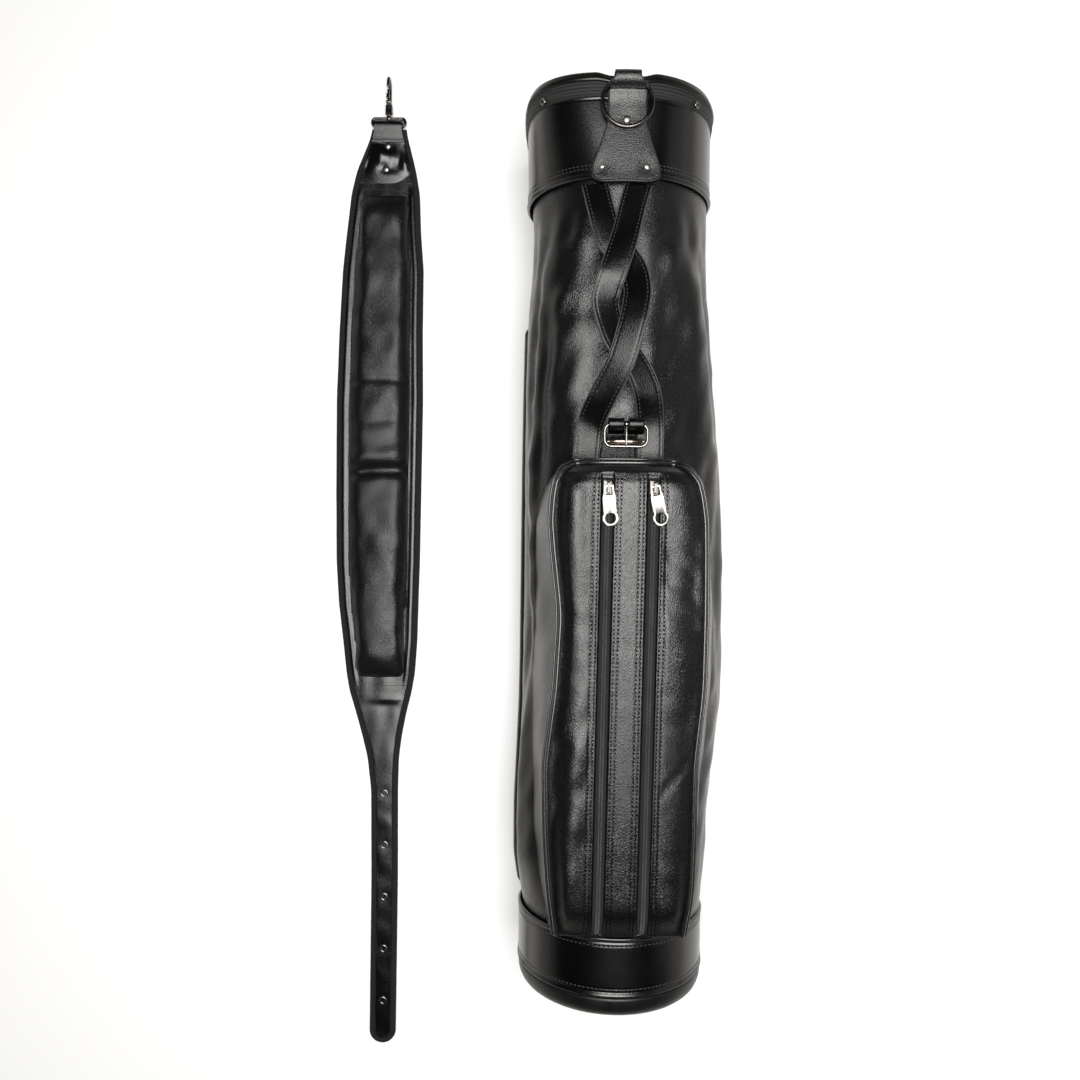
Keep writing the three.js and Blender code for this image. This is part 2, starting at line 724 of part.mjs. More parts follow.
// ---- Bag: buckle --------------------------------------------------------------------------
const BUCKLE_X = 1.2;
const BUCKLE_PIVOT = v(BUCKLE_X, 136.5, 194);
const BUCKLE_WIRE = 1.4;
const FRAME_WIDTH = 40; // wire frame, centre line
const FRAME_LENGTH = 20.7;
const FRAME_LEAN = rad(5); // its free end hangs lower
const ROLLER_AT = 16.2; // from the pivot to the roller's bar
const BARREL_LENGTH = 15;
const BARREL_GAP = 3.6; // room for the prong

// The leather tongue that holds the buckle: wide at the pocket, rising to the two loops.
const CHAPE = [
  [101.5, -22.6, 12.2, 175.5],
  [112, -21.6, 11.4, 177.5],
  [124, -19, 11, 181],
  [129, -16.5, 11, 183.5],
];
const CHAPE_THICK = 2.8;
add(
  "buckle_chape",
  loft(
    CHAPE.map(([y, left, right, z]) => [
      v(left, y, z - CHAPE_THICK / 2),
      v(right, y, z - CHAPE_THICK / 2),
      v(right, y, z + CHAPE_THICK / 2),
      v(left, y, z + CHAPE_THICK / 2),
    ]),
  ),
  leather(),
);

// Each loop: a leather barrel round the buckle's bar, with a short tail down to the tongue.
function barrel(from, to) {
  const shape = new THREE.Shape();
  shape.absarc(0, 0, 5.5, rad(-170), rad(140), false);
  shape.lineTo(-8.6, -4.4);
  shape.lineTo(-8.6, -7.6);
  shape.holes.push(roundHole(0, 0, 2.6));
  const solid = new THREE.ExtrudeGeometry(shape, {
    depth: to - from,
    bevelEnabled: false,
    curveSegments: 16,
  });
  return solid
    .rotateX(Math.PI / 2)
    .rotateZ(Math.PI / 2)
    .translate(from, BUCKLE_PIVOT.y, BUCKLE_PIVOT.z);
}
const barrelFrom = BARREL_GAP / 2;
const barrelTo = barrelFrom + BARREL_LENGTH;
add("buckle_loop_left", barrel(BUCKLE_X - barrelTo, BUCKLE_X - barrelFrom), leather());
add("buckle_loop_right", barrel(BUCKLE_X + barrelFrom, BUCKLE_X + barrelTo), leather());

const frameGroup = new THREE.Group();
frameGroup.position.copy(BUCKLE_PIVOT);
frameGroup.rotation.x = FRAME_LEAN;
bag.add(frameGroup);
const framePath = roundedLoop(
  v(0, -FRAME_LENGTH / 2, 0),
  v(1, 0, 0),
  v(0, 1, 0),
  FRAME_WIDTH,
  FRAME_LENGTH,
  6.5,
);
const rollerBar = wire(
  [v(-FRAME_WIDTH / 2, -ROLLER_AT, 0), v(FRAME_WIDTH / 2, -ROLLER_AT, 0)],
  1.1,
  false,
  10,
);
add("buckle_frame", join(wire(framePath, BUCKLE_WIRE, true), rollerBar), nickel(), frameGroup);

function rollerGeometry() {
  const outer = new THREE.CylinderGeometry(2.4, 2.4, 31, 20).rotateZ(Math.PI / 2);
  const bore = new THREE.CylinderGeometry(1.45, 1.45, 40, 16).rotateZ(Math.PI / 2);
  return cut(outer, bore).translate(0, -ROLLER_AT, 0);
}
add("buckle_roller", rollerGeometry(), nickel(), frameGroup);

function prongGeometry() {
  const eyeOuter = new THREE.CylinderGeometry(3.4, 3.4, 2.6, 16).rotateZ(Math.PI / 2);
  const eyeBore = new THREE.CylinderGeometry(1.8, 1.8, 8, 16).rotateZ(Math.PI / 2);
  const pin = wire(
    [v(0, -2.4, 1.6), v(0, -6, 2.6), v(0, -12, 3.7), v(0, -19.6, 4)],
    1.15,
    false,
    8,
  );
  return cut(join(eyeOuter, pin), eyeBore);
}
add("buckle_prong", prongGeometry(), nickel(), frameGroup);

// ---- Bag: side pocket ---------------------------------------------------------------------
// A slim pocket wraps the left of the back, from angle to angle round the tube.
const SIDE_TOP_Y = 253;
const sideYs = [SIDE_TOP_Y, 180, 100, 0, -98, -145, -200, -250, -304, -335];
const SIDE_SPAN = [16, 20]; // section points that it covers, counted round the tube
const sidePocketThick = (y) => (y > 240 ? 4 : y < -320 ? 1.6 : 4.6);
function sideRing(y) {
  const [from, to] = SIDE_SPAN;
  const under = section(BODY, y, -CLEAR - 0.3).slice(from, to + 1);
  const over = section(BODY, y, -CLEAR - 0.3 - sidePocketThick(y)).slice(from, to + 1);
  return [...under, ...over.reverse()];
}
add("side_pocket", cut(loft(sideYs.map(sideRing)), bodyGrown), leather());

// ---- Shoulder strap -----------------------------------------------------------------------
const strap = new THREE.Group();
root.add(strap);

// Stations of the strap: y, place of its middle, half width of its outline.
const STRAP = [
  [487, -157.6, 21.5],
  [478, -157.8, 24.5],
  [449, -160, 34],
  [423, -160.6, 39.2],
  [380, -162, 42.4],
  [335, -162.4, 46.4],
  [263, -164, 47.9],
  [185, -164.4, 49.6],
  [82, -164.4, 48.9],
  [0, -164, 47.9],
  [-50, -162.8, 45.6],
  [-90, -160.5, 42.6],
  [-128, -159.5, 39.3],
  [-150, -159.2, 35.4],
  [-173, -158.4, 29],
  [-200, -157, 22.6],
  [-225, -155.4, 18],
  [-262, -153.4, 15.4],
  [-364, -152, 15.2],
  [-536, -152, 15],
];
const TAIL_END = -554;
const middleAt = (y) => station(STRAP, y, 1);
const halfAt = (y) => station(STRAP, y, 2);

// Half of the strap's outline from the neck to the tail, moved in by inset.
function strapEdge(side, inset) {
  const rows = STRAP.map(([y, middle, wide], k) => {
    const place = k === 0 ? y - inset : y;
    return [middle + side * (wide - inset), place];
  });
  const tailRadius = 15 - inset;
  for (const turn of [25, 50, 72]) {
    rows.push([
      middleAt(-536) + side * tailRadius * Math.cos(rad(turn)),
      -539 - tailRadius * Math.sin(rad(turn)),
    ]);
  }
  return rows;
}
function strapOutline(inset) {
  const right = strapEdge(1, inset);
  const left = strapEdge(-1, inset).reverse();
  return [...right, ...left].map(([x, y]) => new THREE.Vector2(x, y));
}
const slab = (shape, from, to) =>
  new THREE.ExtrudeGeometry(shape, { depth: to - from, bevelEnabled: false, curveSegments: 12 })
    .translate(0, 0, from);

const eyelets = Array.from({ length: 5 }, (_, k) => EYELET_FIRST_Y - k * EYELET_PITCH);
const strapRivets = { upper: 476, lower: 450 };
const strapHole = (y, radius) =>
  new THREE.CylinderGeometry(radius, radius, 30, 8).rotateX(Math.PI / 2)
    .translate(middleAt(y), y, 0);
const sheetTools = [
  ...eyelets.map((y) => strapHole(y, 3.3)),
  ...Object.values(strapRivets).map((y) => strapHole(y, RIVET_HOLE)),
];
const sheet = slab(new THREE.Shape(strapOutline(BINDING_WIDTH + CLEAR)), ...STRAP_SHEET);
add("strap_sheet", cut(sheet, ...sheetTools), leather(), strap);

const bindingOuter = slab(new THREE.Shape(strapOutline(0)), 0, STRAP_SHEET[1]);
const bindingInner = slab(new THREE.Shape(strapOutline(BINDING_WIDTH)), -2, 7);
add("strap_binding", cut(bindingOuter, bindingInner), webbing(), strap);

// The pad is crowned across and thins out to its two ends.
const PAD = { top: 424, foot: -138, height: 13, margin: 10 };
function padRing(y) {
  const ends = Math.min((PAD.top - y) / 34, (y - PAD.foot) / 34, 1);
  const lift = PAD.height * (0.32 + 0.68 * Math.sin((Math.PI / 2) * Math.max(ends, 0)));
  const wide = halfAt(y) - PAD.margin;
  const floor = STRAP_SHEET[1] + CLEAR;
  const ring = [];
  for (let i = 0; i <= 12; i++) {
    const turn = Math.PI * (i / 12);
    const up = Math.sin(turn) ** 0.62;
    ring.push(v(middleAt(y) - wide * Math.cos(turn), y, floor + 1.2 + (lift - 1.2) * up));
  }
  ring.push(v(middleAt(y) + wide, y, floor));
  ring.push(v(middleAt(y) - wide, y, floor));
  return ring;
}
const padYs = [424, 418, 408, 392, 360, 300, 220, 140, 60, -20, -70, -108, -122, -132, PAD.foot];
add("strap_pad", loft(padYs.map(padRing)), leather(), strap);

eyelets.forEach((y, k) => {
  const profile = [
    [2.3, 0.6], [2.9, 0.6], [2.9, 4.2], [4.7, 4.2],
    [4.5, 4.9], [3.2, 5.3], [2.3, 4.9], [2.3, 0.6],
  ];
  const eyelet = turned(profile, 10).translate(middleAt(y), y, 0);
  add("strap_eyelet_" + (k + 1), eyelet, nickel(), strap);
});

// ---- Shoulder strap: neck, loop and snap hook ---------------------------------------------
const LOOP_Y = 498.5; // bar in the neck's fold
const LOOP_Z = 9;
const LOOP_HEIGHT = 8;
const LOOP_WIRE = 1.9;
const NECK_FOLD = 3.9; // outside radius of the leather round the bar
const EYE_RADIUS = 3.7;
const EYE_Y = LOOP_Y + LOOP_HEIGHT;

// The neck leather folds round the loop's bar and is riveted down on the strap.
function neckGeometry() {
  const outline = new THREE.Shape();
  outline.moveTo(-58.5, -4.8);
  outline.lineTo(-58.5, -2.6);
  outline.lineTo(-12, -0.4);
  outline.lineTo(-4, 3);
  outline.absarc(0, 0, NECK_FOLD, rad(130), rad(-90), true);
  outline.lineTo(-12, -4.8);
  outline.holes.push(roundHole(0, 0, LOOP_WIRE + CLEAR));
  return new THREE.ExtrudeGeometry(outline, { depth: 30, bevelEnabled: false, curveSegments: 12 })
    .translate(0, 0, -15)
    .rotateX(Math.PI / 2)
    .rotateZ(Math.PI / 2)
    .translate(STRAP_X - 0.6, LOOP_Y, LOOP_Z);
}
add(
  "strap_neck",
  cut(neckGeometry(), ...Object.values(strapRivets).map((y) => strapHole(y, RIVET_HOLE))),
  leather(),
  strap,
);
for (const [name, y] of Object.entries(strapRivets)) {
  const seat = name === "upper" ? 8.8 : 7.5;
  const rivet = turned([
    [0, 1], [RIVET_SHANK, 1], [RIVET_SHANK, seat], [4.4, seat],
    [4.4, seat + 0.7], [3.5, seat + 1.8], [2, seat + 2.6], [0, seat + 2.9],
  ], 10);
  add("strap_rivet_" + name, rivet.translate(middleAt(y), y, 0), gunmetal(), strap);
}

const loopPath = roundedLoop(
  v(STRAP_X, LOOP_Y + LOOP_HEIGHT / 2, LOOP_Z),
  v(1, 0, 0),
  v(0, 1, 0),
  37,
  LOOP_HEIGHT,
  3.4,
);
add("strap_loop", wire(loopPath, LOOP_WIRE, true), gunmetal(), strap);

// The eye turns on the loop's upper bar; the hook swivels on the eye's stem.
function eyeGeometry() {
  const outer = new THREE.CylinderGeometry(EYE_RADIUS, EYE_RADIUS, 4.4, 18).rotateZ(Math.PI / 2);
  const bore = new THREE.CylinderGeometry(LOOP_WIRE + 0.3, LOOP_WIRE + 0.3, 8, 18)
    .rotateZ(Math.PI / 2);
  const stem = new THREE.CylinderGeometry(1.5, 1.5, 9, 14).translate(0, 7.6, 0);
  const button = new THREE.CylinderGeometry(2.6, 2.6, 1.6, 14).translate(0, 11.4, 0);
  return cut(join(outer, stem, button), bore).translate(STRAP_X, EYE_Y, LOOP_Z);
}
add("swivel_eye", eyeGeometry(), gunmetal(), strap);

// Hook, in the upright plane of the swivel: along from the eye's bar, and up.
const HOOK_BASE = 5.6;
function hookGeometry() {
  const boss = new THREE.CylinderGeometry(4, 4.4, 10, 16).translate(0, HOOK_BASE + 5, 0);
  const well = new THREE.CylinderGeometry(3, 3, 2.6, 16).translate(0, 11.4, 0);
  const neck = new THREE.CylinderGeometry(1.9, 1.9, 12, 14).translate(0, 6, 0);
  const bow = wire(
    new THREE.CatmullRomCurve3([
      v(0, 12.5, -1.6),
      v(0, 18, -5.4),
      v(0, 27, -6.6),
      v(0, 38, -6),
      v(0, 44, -2.2),
      v(0, 45.2, 3),
      v(0, 41, 6.4),
      v(0, 33.6, 6.2),
    ]).getSpacedPoints(18),
    1.9,
    false,
    8,
    v(1, 0, 0),
  );
  const slotSide = new THREE.BoxGeometry(6, 9.8, 10).translate(0, 11.2, 7.6);
  return cut(join(boss, bow), well, neck, slotSide).translate(STRAP_X, EYE_Y, LOOP_Z);
}
add("snap_hook", hookGeometry(), gunmetal(), strap);

// The gate lies across the hook's throat, with a thumb piece that stands out.
function gateGeometry() {
  const bar = wire([v(0, 17, 4.6), v(0, 24, 5.4), v(0, 31, 6.1)], 1.4, false, 8, v(1, 0, 0));
  const knuckle = new THREE.CylinderGeometry(2.1, 2.1, 4.6, 14).rotateZ(Math.PI / 2)
    .translate(0, 17.2, 4.6);
  const thumb = new THREE.BoxGeometry(3.4, 5, 2.6).translate(0, 22.4, 8);
  return join(bar, knuckle, thumb).translate(STRAP_X, EYE_Y, LOOP_Z);
}
add("hook_gate", gateGeometry(), gunmetal(), strap);

export default root;
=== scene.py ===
"""A leather golf bag on its back with its shoulder strap beside it.

Shapes are worked out in millimetres in the row frame: +Z up, +Y from the foot to the mouth, +X the
bag's right. The bag's axis lies at X = BAG_X, and a bag piece's own across place is u = X - BAG_X.
"""
import math
import bmesh
import bpy
import numpy as np
from mathutils import Matrix


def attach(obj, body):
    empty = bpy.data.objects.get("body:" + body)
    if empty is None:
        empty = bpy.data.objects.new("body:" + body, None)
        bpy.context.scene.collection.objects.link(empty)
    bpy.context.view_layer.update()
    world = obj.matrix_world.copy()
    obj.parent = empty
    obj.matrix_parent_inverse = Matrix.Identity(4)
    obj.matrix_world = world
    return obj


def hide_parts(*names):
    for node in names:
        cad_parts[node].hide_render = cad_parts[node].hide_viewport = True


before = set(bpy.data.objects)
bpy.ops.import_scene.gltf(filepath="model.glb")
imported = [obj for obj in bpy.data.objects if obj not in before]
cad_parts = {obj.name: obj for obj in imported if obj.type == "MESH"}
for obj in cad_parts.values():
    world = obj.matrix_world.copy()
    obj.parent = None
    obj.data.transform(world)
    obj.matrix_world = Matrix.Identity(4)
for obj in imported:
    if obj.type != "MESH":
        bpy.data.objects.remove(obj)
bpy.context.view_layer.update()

MM = 0.001
BAG_X = 100.0
BODY_MIDDLE = 92.0
TAU = 2 * np.pi


# ---- Camera, floor and light ----------------------------------------------------------------
def studio():
    """A camera that looks straight down, a pale floor, two soft boxes and a room pale low down."""
    lens = bpy.data.cameras.new("camera")
    camera = bpy.data.objects.new("camera", lens)
    bpy.context.collection.objects.link(camera)
    lens.sensor_width = 36.0
    lens.lens = 29.43
    lens.clip_start = 0.05
    roll = math.atan(0.0127)
    camera.matrix_world = Matrix.Translation((0.0219, 0.0272, 1.019)) @ Matrix.Rotation(roll, 4, "Z")
    bpy.context.scene.camera = camera

    def soft_box(name, place, turn, size, power, colour):
        light = bpy.data.lights.new(name, "AREA")
        light.shape = "RECTANGLE"
        light.size, light.size_y = size
        light.energy = power
        light.color = colour
        lamp = bpy.data.objects.new(name, light)
        lamp.location = place
        lamp.rotation_euler = [math.radians(t) for t in turn]
        bpy.context.collection.objects.link(lamp)

    soft_box("overhead", (0.12, 0.07, 1.8), (0, 0, 0), (1.1, 1.45), 46, (1.0, 0.99, 0.97))
    soft_box("right_wall", (1.5, 0.1, 0.75), (0, 75, 0), (0.9, 2.2), 2.2, (1.0, 0.99, 0.98))

    world = bpy.data.worlds.new("room")
    bpy.context.scene.world = world
    world.use_nodes = True
    tree = world.node_tree
    way = node(tree, "ShaderNodeTexCoord").outputs["Generated"]
    rise = node(tree, "ShaderNodeSeparateXYZ", [("Vector", way)]).outputs["Z"]
    glow = ranged(tree, rise, 0.5, 0.004, (0.02, 0.3))
    tree.links.new(glow, tree.nodes["Background"].inputs["Strength"])
    tree.nodes["Background"].inputs["Color"].default_value = (1.0, 0.95, 0.9, 1)
    bpy.context.scene.view_settings.view_transform = "Standard"

    half = 3.0
    floor = bpy.data.meshes.new("floor")
    corners = [(-half, -half, 0), (half, -half, 0), (half, half, 0), (-half, half, 0)]
    floor.from_pydata(corners, [], [(0, 1, 2, 3)])
    ground = bpy.data.objects.new("floor", floor)
    bpy.context.collection.objects.link(ground)
    ground.location.z = -0.0004
    floor.materials.append(floor_paper())


def floor_paper():
    """Pale paper that glows a little, and mirrors in the leather as a warm grey."""
    made, tree, shader = blank("floor_paper")
    shader.inputs["Base Color"].default_value = (0.84, 0.84, 0.84, 1)
    shader.inputs["Roughness"].default_value = 0.9
    shader.inputs["Emission Strength"].default_value = 0.22
    path = tree.nodes.new("ShaderNodeLightPath")
    tint = mixed(tree, path.outputs["Is Camera Ray"], (0.62, 0.54, 0.46, 1), (1, 1, 1, 1))
    tree.links.new(tint, shader.inputs["Emission Color"])
    return made


# ---- Materials ------------------------------------------------------------------------------
def blank(name):
    """A new material with its node tree and its Principled shader."""
    made = bpy.data.materials.new(name)
    made.use_nodes = True
    return made, made.node_tree, made.node_tree.nodes["Principled BSDF"]


def node(tree, kind, sockets=(), **settings):
    """A new node. settings are its properties, sockets are (name, value or output) pairs."""
    made = tree.nodes.new(kind)
    for name, value in settings.items():
        setattr(made, name, value)
    return fed(tree, made, sockets)


def fed(tree, made, sockets):
    """Gives a node's sockets their values, or links to them."""
    for name, value in sockets:
        if isinstance(value, bpy.types.NodeSocket):
            tree.links.new(value, made.inputs[name])
        else:
            made.inputs[name].default_value = value
    return made


def mixed(tree, share, low, high):
    """Colour that goes from low to high with share."""
    return node(tree, "ShaderNodeMix", [(0, share), (6, low), (7, high)], data_type="RGBA").outputs[2]


def ranged(tree, value, low, high, span=(0.0, 1.0)):
    """value, which runs over span, moved to run from low to high."""
    sockets = [("Value", value), ("From Min", span[0]), ("From Max", span[1])]
    made = node(tree, "ShaderNodeMapRange", sockets + [("To Min", low), ("To Max", high)])
    return made.outputs["Result"]


def sums(tree, operation, a, b):
    """One sum of two values."""
    return node(tree, "ShaderNodeMath", [(0, a), (1, b)], operation=operation).outputs[0]


def group(name, inputs, outputs):
    """An empty shader group with its sockets. inputs are (name, kind, value)."""
    made = bpy.data.node_groups.new(name, "ShaderNodeTree")
    for title, kind, value in inputs:
        socket = made.interface.new_socket(title, in_out="INPUT", socket_type="NodeSocket" + kind)
        if value is not None:
            socket.default_value = value
    for title, kind in outputs:
        made.interface.new_socket(title, in_out="OUTPUT", socket_type="NodeSocket" + kind)
    return made, made.nodes.new("NodeGroupInput"), made.nodes.new("NodeGroupOutput")


def grain_group():
    """Pebbled leather: rounded cells with valleys between them, bent by noise, with long faint creases."""
    sockets = [("Vector", "Vector", None), ("Cells", "Float", 600.0), ("Creases", "Float", 0.4)]
    tree, into, out = group("leather_grain", sockets, [("Height", "Float"), ("Valley", "Float")])
    bend = node(tree, "ShaderNodeTexNoise", [("Vector", into.outputs["Vector"]), ("Scale", 260.0)])
    shift = node(tree, "ShaderNodeVectorMath", [(0, bend.outputs["Color"]), (1, (0.0016,) * 3)],
                 operation="MULTIPLY")
    moved = node(tree, "ShaderNodeVectorMath", [(0, into.outputs["Vector"]), (1, shift.outputs[0])],
                 operation="ADD")
    cells = node(tree, "ShaderNodeTexVoronoi",
                 [("Vector", moved.outputs[0]), ("Scale", into.outputs["Cells"])],
                 feature="DISTANCE_TO_EDGE")
    edge = ranged(tree, cells.outputs["Distance"], 0.0, 1.0, (0.0, 0.32))
    long_lines = node(tree, "ShaderNodeTexNoise",
                      [("Vector", moved.outputs[0]), ("Scale", 190.0), ("Detail", 4.0)])
    crease = ranged(tree, long_lines.outputs["Fac"], 0.0, 1.0, (0.35, 0.62))
    height = sums(tree, "MULTIPLY_ADD", crease, into.outputs["Creases"])
    tree.links.new(edge, height.node.inputs[2])
    tree.links.new(height, out.inputs["Height"])
    tree.links.new(sums(tree, "SUBTRACT", 1.0, edge), out.inputs["Valley"])
    return tree


def handling_group():
    """Broad cloudy change of sheen over a used surface, from 0 to 1."""
    tree, into, out = group("handling", [("Vector", "Vector", None), ("Scale", "Float", 9.0)],
                            [("Cloud", "Float"), ("Smear", "Float")])
    cloud = node(tree, "ShaderNodeTexNoise", [("Vector", into.outputs["Vector"]),
                                              ("Scale", into.outputs["Scale"]), ("Detail", 5.0)])
    tree.links.new(ranged(tree, cloud.outputs["Fac"], 0.0, 1.0, (0.32, 0.68)), out.inputs["Cloud"])
    stretched = node(tree, "ShaderNodeVectorMath", [(0, into.outputs["Vector"]), (1, (9.0, 1.0, 9.0))],
                     operation="MULTIPLY")
    smear = node(tree, "ShaderNodeTexNoise", [("Vector", stretched.outputs[0]), ("Scale", 14.0),
                                              ("Detail", 3.0)])
    tree.links.new(ranged(tree, smear.outputs["Fac"], 0.0, 1.0, (0.3, 0.7)), out.inputs["Smear"])
    return tree


def weave_group():
    """Crossed yarns on a map in metres: ribs one way over ribs the other way."""
    tree, into, out = group("weave", [("Vector", "Vector", None), ("Yarns", "Float", 900.0)],
                            [("Height", "Float"), ("Shade", "Float")])
    waves = []
    for direction in ("X", "Y"):
        waves.append(node(tree, "ShaderNodeTexWave",
                          [("Vector", into.outputs["Vector"]), ("Scale", into.outputs["Yarns"]),
                           ("Distortion", 0.3)], bands_direction=direction).outputs["Fac"])
    height = sums(tree, "MAXIMUM", waves[0], waves[1])
    tree.links.new(height, out.inputs["Height"])
    tree.links.new(sums(tree, "MULTIPLY", waves[0], waves[1]), out.inputs["Shade"])
    return tree


def polish_group():
    """Fine hairlines and hand marks on polished metal."""
    tree, into, out = group("polish", [("Vector", "Vector", None)], [("Mark", "Float"), ("Height", "Float")])
    marks = node(tree, "ShaderNodeTexNoise", [("Vector", into.outputs["Vector"]), ("Scale", 320.0),
                                              ("Detail", 6.0), ("Roughness", 0.7)])
    tree.links.new(ranged(tree, marks.outputs["Fac"], 0.0, 1.0, (0.35, 0.7)), out.inputs["Mark"])
    fine = node(tree, "ShaderNodeTexNoise", [("Vector", into.outputs["Vector"]), ("Scale", 900.0)])
    tree.links.new(fine.outputs["Fac"], out.inputs["Height"])
    return tree


GROUPS = {"grain": grain_group(), "handling": handling_group(), "weave": weave_group(),
          "polish": polish_group()}


def placed_group(tree, name, sockets):
    """A shared group in a material."""
    return fed(tree, node(tree, "ShaderNodeGroup", node_tree=GROUPS[name]), sockets)


def place_of(tree, source="Object"):
    """The surface's place in metres: Object coordinates, or the piece's own map."""
    if source == "Object":
        return node(tree, "ShaderNodeTexCoord").outputs["Object"]
    return node(tree, "ShaderNodeUVMap", uv_map="lay").outputs["UV"]


def bumped(tree, shader, height, strength, distance):
    """height drives the shader's normal. distance is in metres."""
    bump = node(tree, "ShaderNodeBump", [("Strength", strength), ("Distance", distance), ("Height", height)])
    tree.links.new(bump.outputs["Normal"], shader.inputs["Normal"])


GRAIN_CREASES = 0.12


def leather(name, shade, rough, depth, specular, cells=520.0):
    """Pebbled leather: valleys painted darker as painted shade, and rougher; cloudy sheen; grain as bump of
    depth metres.
    """
    made, tree, shader = blank(name)
    place = place_of(tree)
    grain = placed_group(tree, "grain", [("Vector", place), ("Cells", cells), ("Creases", GRAIN_CREASES)])
    worn = placed_group(tree, "handling", [("Vector", place), ("Scale", 11.0)])
    low = tuple(0.55 * c for c in shade) + (1,)
    high = tuple(1.15 * c for c in shade) + (1,)
    # painted shade: the grain's valleys take the darker colour, the pebbles' tops the lighter one
    colour = mixed(tree, grain.outputs["Valley"], high, low)
    tree.links.new(colour, shader.inputs["Base Color"])
    rough_low = ranged(tree, worn.outputs["Cloud"], rough - 0.035, rough + 0.045)
    rough_all = sums(tree, "MULTIPLY_ADD", grain.outputs["Valley"], 0.09)
    tree.links.new(rough_low, rough_all.node.inputs[2])
    tree.links.new(rough_all, shader.inputs["Roughness"])
    shader.inputs["Specular IOR Level"].default_value = specular
    bumped(tree, shader, grain.outputs["Height"], 0.85, depth)
    return made


def fabric(name, shade, yarns, rough=0.85, depth=0.0002, source="lay"):
    """Woven tape: crossed yarns, their tops painted lighter and the gaps between them darker, as painted
    light and shade.
    """
    made, tree, shader = blank(name)
    place = place_of(tree, source)
    cloth = placed_group(tree, "weave", [("Vector", place), ("Yarns", yarns)])
    low = tuple(0.5 * c for c in shade) + (1,)
    high = tuple(1.5 * c for c in shade) + (1,)
    # painted light and shade: yarn tops lighter, gaps between yarns darker, by the weave's height
    tree.links.new(mixed(tree, cloth.outputs["Height"], low, high), shader.inputs["Base Color"])
    tree.links.new(ranged(tree, cloth.outputs["Shade"], rough - 0.1, rough + 0.1), shader.inputs["Roughness"])
    shader.inputs["Specular IOR Level"].default_value = 0.35
    bumped(tree, shader, cloth.outputs["Height"], 0.9, depth)
    return made


def metal(name, shade, rough):
    """Polished metal with hand marks."""
    made, tree, shader = blank(name)
    place = place_of(tree)
    marks = placed_group(tree, "polish", [("Vector", place)])
    shader.inputs["Metallic"].default_value = 1.0
    low = tuple(0.82 * c for c in shade) + (1,)
    tree.links.new(mixed(tree, marks.outputs["Mark"], tuple(shade) + (1,), low), shader.inputs["Base Color"])
    tree.links.new(ranged(tree, marks.outputs["Mark"], rough, rough + 0.12), shader.inputs["Roughness"])
    bumped(tree, shader, marks.outputs["Height"], 0.15, 0.00005)
    return made


def moulded(name, shade, rough, depth=0.00005, specular=0.4):
    """Moulded plastic with a fine even texture."""
    made, tree, shader = blank(name)
    place = place_of(tree)
    worn = placed_group(tree, "handling", [("Vector", place), ("Scale", 25.0)])
    marks = placed_group(tree, "polish", [("Vector", place)])
    low = tuple(0.8 * c for c in shade) + (1,)
    high = tuple(1.25 * c for c in shade) + (1,)
    tree.links.new(mixed(tree, worn.outputs["Cloud"], low, high), shader.inputs["Base Color"])
    smear = ranged(tree, worn.outputs["Smear"], rough - 0.05, rough + 0.08)
    tree.links.new(smear, shader.inputs["Roughness"])
    shader.inputs["Specular IOR Level"].default_value = specular
    bumped(tree, shader, marks.outputs["Height"], 0.5, depth)
    return made


BODY_LEATHER = leather("body_leather", (0.0026, 0.0026, 0.0027), 0.24, depth=0.00013, specular=0.62)
BOARD_LEATHER = leather("board_leather", (0.002, 0.002, 0.002), 0.16, depth=0.00004, specular=0.7)
TAB_LEATHER = leather("tab_leather", (0.0045, 0.0045, 0.0045), 0.27, depth=0.00014, specular=0.7)
HANDLE_LEATHER = leather("handle_leather", (0.002, 0.002, 0.0021), 0.21, depth=0.00008, specular=0.4)
PAD_LEATHER = leather("pad_leather", (0.004, 0.004, 0.0042), 0.27, depth=0.00014, specular=0.42)
FINE_CELLS = 560.0
PIPING_LEATHER = leather("piping_leather", (0.012, 0.012, 0.012), 0.2, depth=0.00002, specular=1.0,
                         cells=FINE_CELLS)
STRAP_LEATHER = leather("strap_leather", (0.0025, 0.0025, 0.0026), 0.2, depth=0.00005, specular=0.6,
                        cells=FINE_CELLS)
EDGE_PAINT = moulded("edge_paint", (0.05, 0.05, 0.05), 0.3)
BINDING = fabric("binding_tape", (0.008, 0.008, 0.0084), 420.0)
ZIP_TAPE = fabric("zip_tape", (0.014, 0.014, 0.0146), 520.0)
RIM_TAPE = fabric("rim_tape", (0.012, 0.012, 0.012), 300.0, rough=0.6)
LINING = fabric("lining", (0.02, 0.0195, 0.019), 700.0, rough=0.95, source="Object")
ZIP_COIL = moulded("zip_coil", (0.06, 0.06, 0.062), 0.26)
THREAD = moulded("thread", (0.002, 0.002, 0.002), 0.9, specular=0.08)
PALE_THREAD = moulded("pale_thread", (0.06, 0.06, 0.059), 0.7)
PLASTIC = moulded("moulded_black", (0.004, 0.0039, 0.0038), 0.36)
RIM_PLASTIC = moulded("rim_plastic", (0.005, 0.0049, 0.0047), 0.26)
NICKEL = metal("nickel", (0.26, 0.25, 0.235), 0.18)
GUNMETAL = metal("gunmetal", (0.11, 0.104, 0.097), 0.16)
RIVET_METAL = metal("rivet_metal", (0.3, 0.285, 0.27), 0.27)
WARM_METAL = metal("warm_metal", (0.55, 0.42, 0.36), 0.14)


